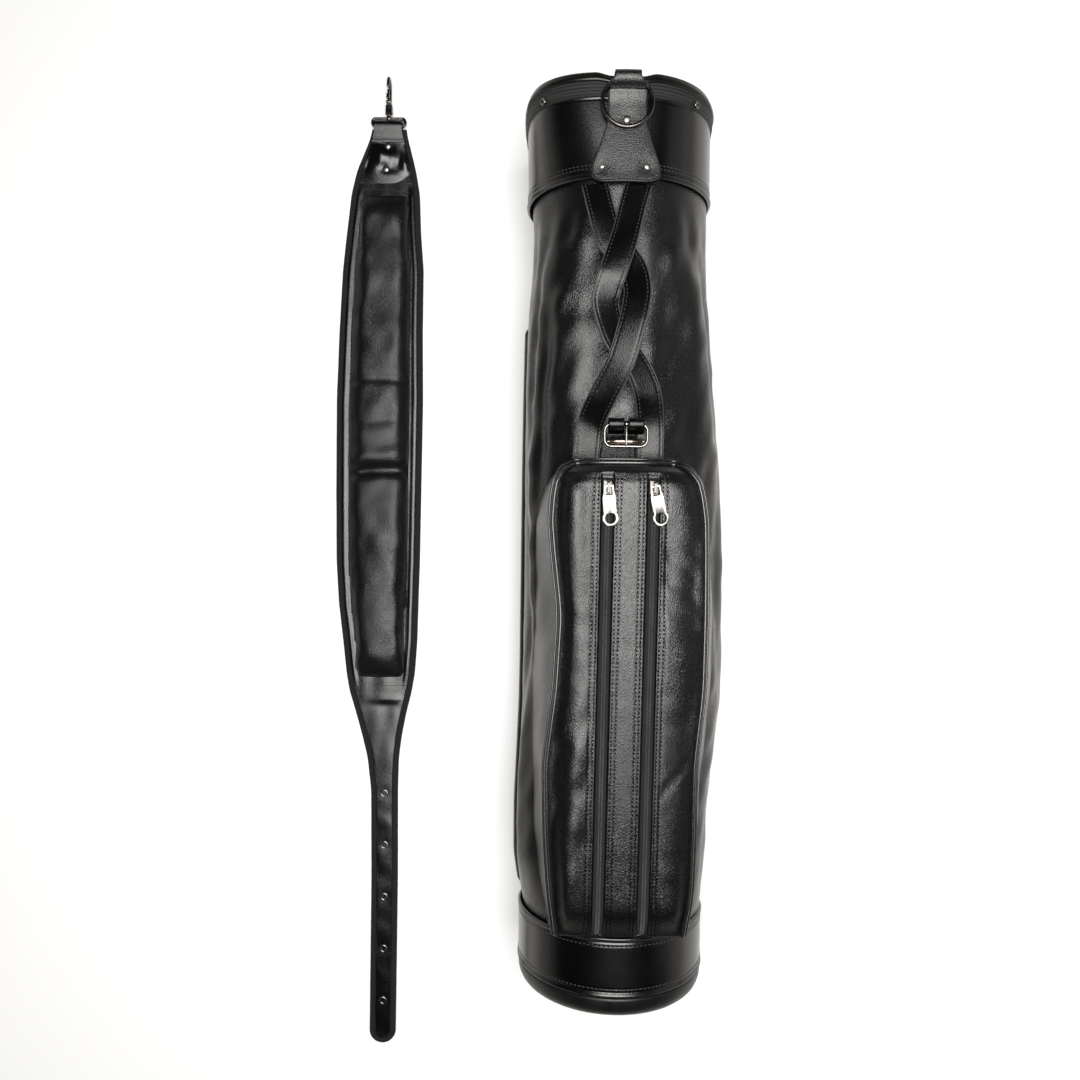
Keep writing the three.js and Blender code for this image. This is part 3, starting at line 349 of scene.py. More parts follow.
# ---- Mesh tools -----------------------------------------------------------------------------
def skin(rows, around=True, along=False, ends=True, lay=None):
    """Quads between the points rows[i, j]. around joins j's ends and along i's ends. ends closes
    the first and last row with fans about their middles. Returns points, faces and map."""
    n, m = rows.shape[:2]
    i = np.arange(n if along else n - 1)[:, None]
    j = np.arange(m if around else m - 1)[None, :]
    i2, j2 = (i + 1) % n, (j + 1) % m
    quads = np.stack([i * m + j, i2 * m + j, i2 * m + j2, i * m + j2], -1).reshape(-1, 4)
    points = rows.reshape(-1, 3)
    faces = quads.tolist()
    lay = np.zeros((n, m, 2)) if lay is None else lay
    flat = lay.reshape(-1, 2)
    if ends and around and not along:
        k = np.arange(m)
        k2 = (k + 1) % m
        last = (n - 1) * m
        first_fan = np.stack([np.full(m, n * m), k, k2], -1)
        last_fan = np.stack([np.full(m, n * m + 1), last + k2, last + k], -1)
        faces += first_fan.tolist() + last_fan.tolist()
        points = np.vstack([points, rows[0].mean(0), rows[-1].mean(0)])
        flat = np.vstack([flat, lay[0].mean(0), lay[-1].mean(0)])
    return points, faces, flat


def together(*shapes):
    """Several shapes as one."""
    points, faces, lays, start = [], [], [], 0
    for shape_points, shape_faces, shape_lay in shapes:
        points.append(shape_points)
        lays.append(shape_lay)
        faces += [[k + start for k in face] for face in shape_faces]
        start += len(shape_points)
    return np.vstack(points), faces, np.vstack(lays)


def outward(points, faces):
    """faces, turned over if they look inwards as seen from the middle of the shape."""
    middle = points.mean(0)
    total = 0.0
    for size in (3, 4):
        same = np.array([face for face in faces if len(face) == size])
        if len(same):
            corners = points[same] - middle
            turn = np.cross(corners[:, 1] - corners[:, 0], corners[:, 2] - corners[:, 0])
            if size == 4:
                turn = turn + np.cross(corners[:, 2] - corners[:, 0], corners[:, 3] - corners[:, 0])
            total += float((turn * corners.mean(1)).sum())
    return faces if total > 0 else [face[::-1] for face in faces]


def piece(name, shape, material, body, replaces=(), wall=0.0, fine=0, keep=False):
    """A new piece in the row frame that rides on a body. wall gives a sheet its thickness, in mm,
    on its inner side; fine adds subdivision."""
    points, faces, lay = shape
    faces = faces if keep else outward(points, faces)
    mesh = bpy.data.meshes.new(name)
    mesh.from_pydata((points * MM).tolist(), [], faces)
    where = np.empty(len(mesh.loops), np.int32)
    mesh.loops.foreach_get("vertex_index", where)
    layer = mesh.uv_layers.new(name="lay")
    layer.data.foreach_set("uv", (lay[where] * MM).astype(np.float32).ravel())
    mesh.polygons.foreach_set("use_smooth", np.ones(len(mesh.polygons), bool))
    mesh.materials.append(material)
    made = bpy.data.objects.new(name, mesh)
    bpy.context.collection.objects.link(made)
    if wall:
        solid = made.modifiers.new("wall", "SOLIDIFY")
        solid.thickness = wall * MM
        solid.offset = -1.0
    if fine:
        smooth = made.modifiers.new("fine", "SUBSURF")
        smooth.levels = smooth.render_levels = fine
    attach(made, body)
    if replaces:
        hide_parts(*replaces)
    return made


def dress(node_name, material):
    """Gives a CAD node its material."""
    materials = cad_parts[node_name].data.materials
    materials.clear()
    materials.append(material)


def soft_copy(name, node_name, material, body, bevel):
    """A merged copy of a CAD node with rounded edges, bevel in mm."""
    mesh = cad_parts[node_name].data.copy()
    mesh.name = name
    shape = bmesh.new()
    shape.from_mesh(mesh)
    bmesh.ops.remove_doubles(shape, verts=shape.verts, dist=1e-6)
    bmesh.ops.dissolve_limit(shape, angle_limit=0.02, verts=shape.verts, edges=shape.edges)
    shape.to_mesh(mesh)
    shape.free()
    mesh.materials.clear()
    mesh.materials.append(material)
    mesh.polygons.foreach_set("use_smooth", np.ones(len(mesh.polygons), bool))
    made = bpy.data.objects.new(name, mesh)
    bpy.context.collection.objects.link(made)
    round_off = made.modifiers.new("round", "BEVEL")
    round_off.width = bevel * MM
    round_off.segments = 3
    round_off.limit_method = "ANGLE"
    round_off.angle_limit = math.radians(28)
    round_off.harden_normals = True
    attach(made, body)
    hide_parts(node_name)
    return made


def eased(table, y, column, spread=7.0):
    """A column of a table of stations at y, with its corners rounded over spread mm."""
    rows = np.array(sorted(table, key=lambda row: row[0]), float)
    reach = np.linspace(-2.2, 2.2, 15)
    weight = np.exp(-reach**2)
    places = np.asarray(y, float)[..., None] + reach * np.asarray(spread, float)[..., None]
    low, high = rows[0, 0], rows[-1, 0]
    over = np.clip(places, low, high)
    return (np.interp(over, rows[:, 0], rows[:, column]) * weight).sum(-1) / weight.sum()


def smooth_path(points, count, closed=False):
    """A smooth curve through points, as count points an equal length apart."""
    p = np.asarray(points, float)
    ends = (p[-1], p[0], p[1]) if closed else (2 * p[0] - p[1], 2 * p[-1] - p[-2])
    q = np.vstack([ends[0], p, *ends[1:]])
    t = np.linspace(0, 1, 20, endpoint=False)[None, :, None]
    a, b, c, d = (q[k:len(q) - 3 + k, None] for k in range(4))
    curve = 0.5 * (2 * b + (c - a) * t + (2 * a - 5 * b + 4 * c - d) * t**2
                   + (3 * b - a - 3 * c + d) * t**3)
    curve = np.vstack([curve.reshape(-1, p.shape[1]), p[0] if closed else p[-1]])
    run = np.concatenate([[0], np.cumsum(np.linalg.norm(np.diff(curve, axis=0), axis=1))])
    places = np.linspace(0, run[-1], count, endpoint=not closed)
    return np.stack([np.interp(places, run, curve[:, k]) for k in range(p.shape[1])], -1)


def unit(v):
    """v with length 1."""
    return v / np.maximum(np.linalg.norm(v, axis=-1, keepdims=True), 1e-9)


def slopes(path, closed=False):
    """Unit direction of travel at each point of a path."""
    if closed:
        return unit(np.roll(path, -1, 0) - np.roll(path, 1, 0))
    return unit(np.gradient(path, axis=0))


def sweep(path, profile, up=(0, 0, 1), closed=False, roll=None):
    """A profile of (side, height) points carried along a path. up is the way its height looks;
    roll turns it about the path, in degrees. Returns the rows of points."""
    along = slopes(path, closed)
    side = unit(np.cross(along, np.broadcast_to(np.asarray(up, float), along.shape)))
    high = np.cross(side, along)
    if roll is not None:
        turn = np.radians(roll)[:, None]
        side, high = (np.cos(turn) * side + np.sin(turn) * high,
                      np.cos(turn) * high - np.sin(turn) * side)
    profile = np.asarray(profile, float)
    if profile.ndim == 2:
        profile = np.broadcast_to(profile, (len(path), *profile.shape))
    return (path[:, None] + profile[..., :1] * side[:, None] + profile[..., 1:] * high[:, None])


def circle(radius, count=14):
    """Points of a circle, as (side, height)."""
    turn = TAU * np.arange(count) / count
    return np.stack([radius * np.cos(turn), radius * np.sin(turn)], -1)


def rounded(width, height, corner, count=6):
    """Points of a rectangle with round corners, as (side, height)."""
    turn = np.linspace(0, np.pi / 2, count)
    parts = []
    for k, (sx, sy) in enumerate([(1, 1), (-1, 1), (-1, -1), (1, -1)]):
        angle = turn + k * np.pi / 2
        parts.append(np.stack([sx * (width / 2 - corner) + corner * np.cos(angle),
                               sy * (height / 2 - corner) + corner * np.sin(angle)], -1))
    return np.vstack(parts)


def lathe(profile, centre, axis=(0, 0, 1), count=28):
    """(radius, height) pairs turned about an axis through centre. Ends on the axis are poles."""
    profile = np.asarray(profile, float)
    axis = unit(np.asarray(axis, float))
    aside = unit(np.cross(axis, (0.31, 0.95, 0.05)))
    other = np.cross(axis, aside)
    turn = TAU * np.arange(count)[None, :, None] / count
    ring = np.cos(turn) * aside + np.sin(turn) * other
    return np.asarray(centre, float) + profile[:, 0, None, None] * ring + profile[:, 1, None, None] * axis


def copies(shape_rows, origin, along, up):
    """Copies of a small closed shape, its X on along and its Z on up, at each origin."""
    points, faces, _ = skin(shape_rows)
    along = unit(along)
    side = unit(np.cross(up, along))
    up = np.cross(along, side)
    many = (origin[:, None] + points[None, :, :1] * along[:, None]
            + points[None, :, 1:2] * side[:, None] + points[None, :, 2:] * up[:, None])
    count = len(points)
    shifts = range(0, len(origin) * count, count)
    all_faces = [[k + shift for k in face] for shift in shifts for face in faces]
    return many.reshape(-1, 3), all_faces, np.zeros((len(origin) * count, 2))


def bead_shape(length, width, height, around=6, rings=4):
    """A small pod: an ellipsoid length x width x height."""
    t = np.linspace(0, np.pi, rings + 2)[1:-1]
    turn = TAU * np.arange(around) / around
    x = -length / 2 * np.cos(t)[:, None] * np.ones(around)
    y = width / 2 * np.sin(t)[:, None] ** 0.6 * np.cos(turn)
    z = height / 2 * np.sin(t)[:, None] ** 0.6 * np.sin(turn)
    return np.stack([x, y, z], -1)


def stitch_row(path, normals, pitch=4.0, length=2.9, thick=0.8, lift=0.1):
    """Stitches along a path of points with normals, an equal pitch apart."""
    run = np.concatenate([[0], np.cumsum(np.linalg.norm(np.diff(path, axis=0), axis=1))])
    places = np.arange(pitch / 2, run[-1], pitch)
    at = np.stack([np.interp(places, run, path[:, k]) for k in range(3)], -1)
    ahead = np.stack([np.interp(places + 1, run, path[:, k]) for k in range(3)], -1)
    up = unit(np.stack([np.interp(places, run, normals[:, k]) for k in range(3)], -1))
    return copies(bead_shape(length, thick, thick * 0.8), at + lift * up, ahead - at + 1e-6, up)


def ridge(distance, width):
    """1 on a line and 0 away from it, as a smooth bell of the given width."""
    return np.exp(-(distance / width) ** 2)


def smoothstep(x, low, high):
    """0 below low, 1 above high, smooth between."""
    t = np.clip((x - low) / (high - low), 0, 1)
    return t * t * (3 - 2 * t)


def cloudy(x, y, size, seed):
    """Smooth pseudo-random height between -1 and 1: a sum of eight turned waves about size long."""
    made = np.zeros(np.broadcast(x, y).shape)
    draw = np.random.default_rng(seed)
    for _ in range(8):
        turn, phase = draw.uniform(0, TAU, 2)
        wave = TAU / (size * draw.uniform(0.7, 1.5))
        made = made + np.sin(wave * (x * np.cos(turn) + y * np.sin(turn)) + phase)
    return made / 4


# ---- Bag: the tube --------------------------------------------------------------------------
# y, half width to the left, to the right, top, underside, squareness of the section.
BODY = [
    [384, 90.4, 90.4, 184.6, 4.4, 2.05], [366, 89.6, 89.8, 184.4, 3.6, 2.1],
    [345, 88, 90, 183, 1.6, 2.1], [310, 89, 89.5, 181, 0.4, 2.3], [255, 93, 93.5, 178, 0.3, 2.5],
    [180, 94, 99.5, 174, 0.3, 2.5], [100, 94.5, 107, 170, 0.3, 2.4], [0, 94.5, 111.5, 166, 0.3, 2.2],
    [-98, 94.5, 114.4, 164, 0.3, 2.2], [-145, 95, 113.6, 164, 0.3, 2.2],
    [-200, 97, 106, 167, 0.3, 2.2], [-250, 99, 99, 173, 0.3, 2.15], [-304, 98.5, 95, 182, 0.6, 2.1],
    [-335, 93.5, 92, 186, 2.6, 2.1], [-343, 91.2, 91.2, 186.2, 3.6, 2],
    [-398, 91.2, 91.2, 186.2, 3.6, 2],
]
# A seventh value is the left side's own squareness.
COLLAR = [[370.4, 94.6, 92.6, 188.6, 0.3, 2.1, 2.1], [400, 94.8, 92.4, 189.6, 0.2, 2.15, 2.35],
          [444.6, 95.6, 92.2, 191, 0, 2.2, 3.0]]
MOUTH = [[443.4, 96.4, 93, 192.2, 0, 2.2, 3.0], [464, 97, 93.4, 193, 0, 2.25, 3.2]]
ROUND = [[-403, 95.5, 92.9, 190, 0, 2], [-345, 95.3, 92.7, 190, 0, 2]]


def section(table, y, turn, out=0.0):
    """Points of the tube at y and at turn (radians from the top, to the right):
    u = half*sgn(sin)|sin|^(2/n), z = middle + height*sgn(cos)|cos|^(2/n), grown by out."""
    left, right, top, under, square = (eased(table, y, k) for k in range(1, 6))
    across, up = np.sin(turn), np.cos(turn)
    square = np.where(across < 0, eased(table, y, -1), square) if len(table[0]) > 6 else square
    half = np.where(across < 0, left, right) + out
    power = 2 / square
    x = half * np.sign(across) * np.abs(across) ** power
    z = (top + under) / 2 + ((top - under) / 2 + out) * np.sign(up) * np.abs(up) ** power
    return np.stack([x + BAG_X, y + 0 * x, z], -1)


def top_of(table, y, u):
    """Height of the tube's upper surface at y, u to the side of the axis."""
    left, right, top, under, square = (eased(table, y, k) for k in range(1, 6))
    square = np.where(u < 0, eased(table, y, -1), square) if len(table[0]) > 6 else square
    half = np.where(u < 0, left, right)
    middle = (top + under) / 2
    share = np.clip(1 - np.abs(u / half) ** square, 0, 1)
    return middle + (top - middle) * share ** (1 / square)


def leather_folds(y, degrees):
    """How far the soft tube stands proud of its even shape, in mm, by y and by degrees from its
    top: soft long folds, a pull towards the handle and gathers at the collar and the cuff."""
    free = smoothstep(-y, -362, -300) * smoothstep(y, -340, -285)
    rise = 2.2 * np.sin(np.radians(degrees) * 5.0 + y / 61.0) * free * smoothstep(np.abs(degrees), 8, 40)
    rise = rise + 1.5 * cloudy(degrees * 1.6, y * 0.45, 62, 3) * free
    rise = rise + 0.9 * cloudy(degrees * 1.6, y * 0.8, 30, 5) * free
    # Gathers below the collar, each a short valley that fades out downwards.
    for at, length, depth in ((-52, 60, 3.2), (-33, 90, 2.6), (24, 42, 2.6), (41, 75, 3.2), (63, 60, 2.6),
                              (-74, 95, 3.4), (-95, 60, 2.5), (88, 80, 2.6), (118, 60, 2.4), (-130, 70, 2.4)):
        drift = at + (372 - y) * 0.05 * np.sign(at)
        fade = smoothstep(-y, -368, -352) * (1 - smoothstep(-y, -352, -352 + length))
        rise = rise - depth * ridge(degrees - drift, 5.5) * fade
        rise = rise + 0.6 * depth * ridge(degrees - drift - 9, 6) * fade
    # Gathers above the cuff.
    for at, length, depth in ((-88, 90, 3.5), (-70, 60, 2.2), (72, 75, 3.0), (95, 60, 2.6), (130, 70, 2.4),
                              (-120, 80, 2.6)):
        drift = at - (y + 345) * 0.06 * np.sign(at)
        fade = smoothstep(y, -345, -332) * (1 - smoothstep(y, -332, -332 + length))
        rise = rise - depth * ridge(degrees - drift, 6) * fade
    # Long folds down both sides.
    for y0, y1, at0, at1, wide, depth in (
            (330, 60, -58, -78, 6.5, 4.2), (250, 40, -44, -62, 6, 3.2), (170, -60, -82, -70, 7, 3.6),
            (60, -330, -66, -88, 6, 3.4), (-60, -320, -96, -84, 7, 3.0), (320, 120, 58, 70, 7, 3.6),
            (200, -120, 74, 66, 7, 3.0), (-40, -300, 82, 74, 7, 3.2), (280, -260, -120, -126, 9, 3.0),
            (260, -240, 116, 124, 9, 3.0)):
        share = np.clip((y0 - y) / (y0 - y1), 0, 1)
        at = at0 + (at1 - at0) * share + 3.0 * np.sin(y / 37.0 + at0)
        window = np.sin(np.pi * share) ** 0.7
        rise = rise - depth * ridge(degrees - at, wide) * window
        rise = rise + 0.7 * depth * ridge(degrees - at - wide * 1.7, wide * 1.2) * window
    return rise * free * (1 - 0.8 * ridge(np.abs(degrees) - 92, 20))


def body_shell():
    """The soft tube: the even section moved along its normal by leather_folds."""
    y = np.linspace(-397.0, 383.0, 252)[:, None]
    turn = np.linspace(-np.pi, np.pi, 192, endpoint=False)[None, :]
    rows = section(BODY, y, turn)
    degrees = np.degrees(turn) + 0 * y
    rise = leather_folds(y + 0 * turn, degrees) * (1 - smoothstep(np.abs(degrees), 140, 165))
    out = rows - [BAG_X, 0, BODY_MIDDLE]
    out[..., 1] = 0
    rows = rows + unit(out) * rise[..., None]
    rows[..., 2] = np.maximum(rows[..., 2], 0.3)
    lay = np.stack([turn * 95 + 0 * y, y + 0 * turn], -1)
    shape = skin(rows, ends=False, lay=lay)
    return piece("body_leather_tube", shape, BODY_LEATHER, "bag", ["body_shell"], wall=2.4)


def rolled(y, low, high, radius):
    """How far a wall pulls in at its two ends, so that its edges are round: radius mm at the end."""
    near = np.minimum(y - low, high - y)
    share = np.clip(1 - near / radius, 0, 1)
    return radius * (1 - np.sqrt(np.clip(1 - share**2, 0, 1)))


def edge_rows(low, high, count):
    """Places along a wall, close together at its two ends."""
    t = np.linspace(0, np.pi, count)
    return low + (high - low) * (1 - np.cos(t)) / 2


def bow_mouth(rows):
    """Carries the mouth's front edge out to either side of the tab, most at the very edge."""
    beside = smoothstep(np.abs(rows[..., 0] - BAG_X - TAB_X), 14, 30)
    near = np.clip((rows[..., 1] - 444) / 18, 0, 1)
    rows[..., 1] += 3.6 * beside * near * smoothstep(rows[..., 2], 120, 165)
    return rows


def stiff_ring(name, table, low, high, material, node_name, wall, groove=None, count=60):
    """A stiff ring of the tube between two places, with round edges and an optional sewn groove."""
    y = edge_rows(low, high, count)[:, None]
    turn = np.linspace(-np.pi, np.pi, 260, endpoint=False)[None, :]
    out = -rolled(y, low, high, 1.6)
    if groove is not None:
        out = out + groove(y)
    rows = section(table, y, turn, out)
    rows = bow_mouth(rows)
    rows[..., 2] = np.maximum(rows[..., 2], 0.0)
    lay = np.stack([turn * 95 + 0 * y, y + 0 * turn], -1)
    return piece(name, skin(rows, ends=False, lay=lay), material, "bag", [node_name], wall=wall)


def ring_stitches(name, table, y, out, material, span=(-180, 180), pitch=4.2):
    """A stitch row round the tube at each of the places y, between two angles."""
    made = []
    turn = np.radians(np.linspace(span[0], span[1], 400))
    for place, proud in zip(np.atleast_1d(y), np.atleast_1d(out)):
        path = bow_mouth(section(table, np.full_like(turn, place), turn, proud))
        up = bow_mouth(section(table, np.full_like(turn, place), turn, proud + 5)) - path
        path[:, 2] = np.maximum(path[:, 2], 0.6)
        made.append(stitch_row(path, up, pitch))
    return piece(name, together(*made), material, "bag", keep=True)


def collar():
    """The stiff collar, its rolled lower edge and its sewn rows."""
    def groove(y):
        fold = 1.3 * ridge(y - 373.2, 1.5) - 0.8 * ridge(y - 376.6, 1.0)
        return fold - 0.25 * ridge(y - 380.5, 0.8) - 0.25 * ridge(y - 442, 0.9)
    stiff_ring("collar_leather", COLLAR, 370.4, 445.6, BOARD_LEATHER, "collar", 3.0,
               groove, 120)
    ring_stitches("collar_stitches", COLLAR, [379.2, 382.4], [-0.05, -0.05], PALE_THREAD)


def rim():
    """The woven band under the rim and the moulded bead over the mouth's edge."""
    def ribs(y):
        return 0.25 * np.cos((y - 445) * TAU / 2.6)
    stiff_ring("rim_band_tape", MOUTH, 443.6, 457.0, RIM_TAPE, "rim_band", 3.4, ribs, 40)
    ring_stitches("rim_stitches", MOUTH, [448.6], [0.35], PALE_THREAD, pitch=3.6)
    profile = np.array([[455.4, 0.4], [455.6, -1.0], [457, -1.9], [459, -1.5], [460.2, -0.8], [461.6, -0.2],
                        [463.2, 1.2], [463.9, 3.4], [463.4, 5.4], [461, 6.6], [458, 7], [455.6, 6.9]])
    profile = smooth_path(profile, 40, closed=True)
    turn = np.linspace(-np.pi, np.pi, 260, endpoint=False)[None, :]
    rows = section(MOUTH, profile[:, :1], turn, -profile[:, 1:])
    rows[..., 2] = np.maximum(rows[..., 2], 0.0)
    shape = skin(bow_mouth(rows), along=True)
    piece("rim_moulding", shape, RIM_PLASTIC, "bag", ["rim_bead"])


def cuff_and_foot():
    """The stiff cuff, its two sewn rows and the moulded foot."""
    def groove(y):
        fold = 1.1 * ridge(y + 347.4, 1.5) - 0.6 * ridge(y + 350.6, 0.9)
        fold = fold + 0.9 * ridge(y + 400.6, 1.4) - 0.6 * ridge(y + 397.6, 0.9)
        return fold - 0.2 * ridge(y + 354, 0.8) - 0.2 * ridge(y + 394, 0.8)
    stiff_ring("cuff_leather", ROUND, -403.0, -345.0, BOARD_LEATHER, "base_cuff", 3.0,
               groove, 110)
    ring_stitches("cuff_stitches", ROUND, [-353.6, -394.4], [0.0, 0.0], PALE_THREAD)
    profile = np.array([[-400, 9], [-403.2, 7.6], [-403.4, 0.9], [-404, 0.35], [-406, 0.3], [-409, 0.5],
                        [-412.5, 1.0], [-415.4, 1.9], [-418, 3.2], [-420.2, 5.0], [-422, 7.2],
                        [-423.2, 9.8], [-423.9, 13.0], [-424, 17], [-424, 30], [-423.2, 31], [-423.2, 40],
                        [-424, 41], [-424, 60], [-423.2, 61], [-423.2, 70], [-424, 71], [-424, 90]])
    turn = np.linspace(-np.pi, np.pi, 200, endpoint=False)[None, :]
    y = np.maximum(profile[:, :1], -403.0) + 0 * turn
    rows = section(ROUND, y, turn, -profile[:, 1:])
    rows[..., 1] = profile[:, :1]
    piece("foot_moulding", skin(rows), PLASTIC, "bag", ["foot_cup"])


# ---- Bag: tab, rivets and ring --------------------------------------------------------------
TAB_X = -1.6
TAB = [[365, 25, 1.4], [367, 29, 1.2], [373, 31.5, 1], [380, 31, 1], [400, 23.5, 1], [418, 17.5, 1],
       [436, 17, 1.4], [443, 17, 3], [447, 17, 5.4]]
TAB_RIVETS = {"top": (-2, 421), "left": (-24, 378), "right": (17.4, 378)}


def tab_surface(y, across):
    """The tab's upper face at y, across from -1 to 1: the collar's surface, its lift, its leather
    and a slight crown."""
    half = eased(TAB, y, 1, 2.2)
    corner = np.clip((371.5 - y) / 6.5, 0, 1)
    half = 31.3 * np.sqrt(1 - 0.62 * corner**2.2) * (y < 372) + half * (y >= 372)
    u = TAB_X + half * across
    base = 0.55 * top_of(COLLAR, np.maximum(y, 370.4), u) + 0.45 * top_of(COLLAR, np.maximum(y, 370.4), 0 * u)
    lift = eased(TAB, y, 2, 3.0) + 2.6 + 0.7 * (1 - across**2)
    pads = sum(ridge(np.hypot(u - x0, y - y0), 8.5) for x0, y0 in TAB_RIVETS.values())
    return np.stack([u + BAG_X, y + 0 * u, base + lift - 0.9 * pads], -1)


def tab():
    """The riveted tab, its strip over the carry ring and the rim, its painted edge and stitches."""
    y = np.concatenate([np.linspace(365.2, 374, 16), np.linspace(375, 447.6, 66)])[:, None]
    across = np.linspace(-1, 1, 61)[None, :]
    rows = tab_surface(y, across)
    lay = np.stack([rows[..., 0], rows[..., 1]], -1)
    piece("tab_leather_plate", skin(rows, around=False, lay=lay), TAB_LEATHER, "bag",
          ["ring_tab"], wall=2.6)
    y_edge = np.concatenate([np.linspace(447.6, 374, 60), np.linspace(373.4, 365.2, 14)])
    right = tab_surface(y_edge, np.ones_like(y_edge))
    foot = tab_surface(np.full(25, 365.2), np.linspace(0.96, -0.96, 25))
    outline = np.vstack([right, foot, tab_surface(y_edge[::-1], -np.ones_like(y_edge))])
    outline = smooth_path(outline[::3], 320) - [0, 0, 0.9]
    bead = sweep(outline, circle(1.15, 10))
    piece("tab_edge", skin(bead), EDGE_PAINT, "bag")
    inner_y = np.concatenate([np.linspace(446, 374, 60), np.linspace(373.4, 369.6, 8)])
    half = eased(TAB, inner_y, 1, 2.2)
    share = 1 - 3.4 / half
    side_path = tab_surface(inner_y, share)
    foot_path = tab_surface(np.full(25, 368.9), np.linspace(0.8, -0.8, 25))
    path = np.vstack([side_path[::4], foot_path[::4], tab_surface(inner_y[::-1], -share[::-1])[::4]])
    path = smooth_path(path, 300)
    up = np.broadcast_to([0, 0, 1.0], path.shape)
    piece("tab_stitches", stitch_row(path, up, 4.1, 2.7, 1.2, 0.4), THREAD, "bag", keep=True)

    fold = smooth_path([(443, 196.8), (446.5, 197.4), (449.5, 199.6), (452.5, 202.8), (455.5, 204.6),
                        (460.0, 204.8), (464.1, 201.6), (465.2, 195.5), (465.0, 189), (462.8, 183.6),
                        (458, 181), (450, 180.8), (441, 181)], 80)
    across = np.linspace(-1, 1, 25)
    crown = 0.8 * (1 - across[None, :] ** 2)
    half = 12.2 + 4.8 * (np.arange(80) < 40) * smoothstep(-fold[:, 0], -457.5, -450)
    rows = np.stack([BAG_X + TAB_X + half[:, None] * across,
                     fold[:, :1] + 0 * crown, fold[:, 1:] + crown * np.linspace(1, -0.2, 80)[:, None]], -1)
    lay = np.stack([rows[..., 0], np.broadcast_to(np.linspace(0, 70, 80)[:, None], (80, 25))], -1)
    piece("tab_fold", skin(rows, around=False, lay=lay), TAB_LEATHER, "bag", wall=1.4)


def tab_rivets():
    """Domed rivets, each square to the tab: a flat rim, then a low dome."""
    t = np.linspace(0, np.pi / 2, 12)
    dome = [(0.0, -2.4), (2.0, -2.4), (2.0, 0.0), (4.6, 0.0), (5.0, 0.25), (5.0, 0.7)]
    dome += [(4.85 * math.cos(a), 0.8 + 2.6 * math.sin(a)) for a in t]
    for side, (u, y) in TAB_RIVETS.items():
        slope = float(top_of(COLLAR, y, np.array(u + 1.0)) - top_of(COLLAR, y, np.array(u - 1.0))) / 2
        axis = unit(np.array([-slope, 0, 1.0]))
        foot = np.array([u + BAG_X, y, float(top_of(COLLAR, y, np.array(float(u))))]) + axis * 3.5
        piece("tab_rivet_dome_" + side, skin(lathe(dome, foot, axis)), RIVET_METAL, "bag",
              ["tab_rivet_" + side])


def divider_screws():
    """Cup-headed screws round the collar."""
    for place, angle in {"front_right": 43, "back_right": 133, "back_left": 227, "front_left": 313}.items():
        turn = math.radians(angle)
        axis = np.array([math.sin(turn), 0, math.cos(turn)])
        left, right, top, _, square, left_square = (float(eased(MOUTH, 448.0, k)) for k in range(1, 7))
        half, power = (left, left_square) if axis[0] < 0 else (right, square)
        high = top / 2
        reach = ((abs(axis[0]) / half) ** power + (abs(axis[2]) / high) ** power) ** (-1 / power)
        foot = np.array([BAG_X, 448.0, high]) + axis * (reach + 0.4)
        profile = [(0.0, -14), (1.5, -14), (1.5, 0.0), (3.2, 0.0), (3.5, 0.5), (3.4, 1.4), (2.9, 1.9),
                   (2.1, 1.8), (1.4, 1.2), (0.0, 1.0)]
        piece("divider_screw_cup_" + place, skin(lathe(profile, foot, axis, 20)), NICKEL,
              "bag", ["divider_screw_" + place])


RING_RADIUS = 23.5


def carry_ring():
    """A round wire ring that lies on the tab, leaning a little."""
    lean = math.radians(1.2)
    top = np.array([BAG_X + TAB_X, 460, 196.4])
    down = np.array([0, -math.cos(lean), math.sin(lean)])
    centre = top + down * RING_RADIUS
    turn = TAU * np.arange(120)[:, None] / 120
    path = centre + RING_RADIUS * (np.sin(turn) * np.array([1.0, 0, 0]) - np.cos(turn) * down)
    piece("carry_ring_wire", skin(sweep(path, circle(2.0, 18), closed=True), along=True), GUNMETAL,
          "carry_ring", ["carry_ring"])


# ---- Bag: handle and buckle -----------------------------------------------------------------
HANDLE_RIGHT = [(10.5, 362.4, 188), (4.5, 340, 198), (-4, 306, 210.5), (-14, 274, 216.5),
                (-19.2, 258, 214), (-20.8, 242, 211), (-11, 214, 206.5), (7, 192, 203), (20, 166, 196),
                (25, 137, 182.5), (25.6, 101.5, 176.2)]
HANDLE_LEFT = [(-30.5, 362, 187.2), (-25, 335, 196), (-17, 307, 200.5), (-4, 291, 202.5),
               (5, 276, 206.5), (8.2, 258, 213), (6.8, 243, 217), (2.5, 222, 219), (-7, 190, 215),
               (-22.5, 160, 200), (-31.5, 139, 184.5), (-34.5, 118, 179), (-35.6, 101.5, 176.2)]


HANDLE_LENGTH = 330
HANDLE_HALF = 12.2


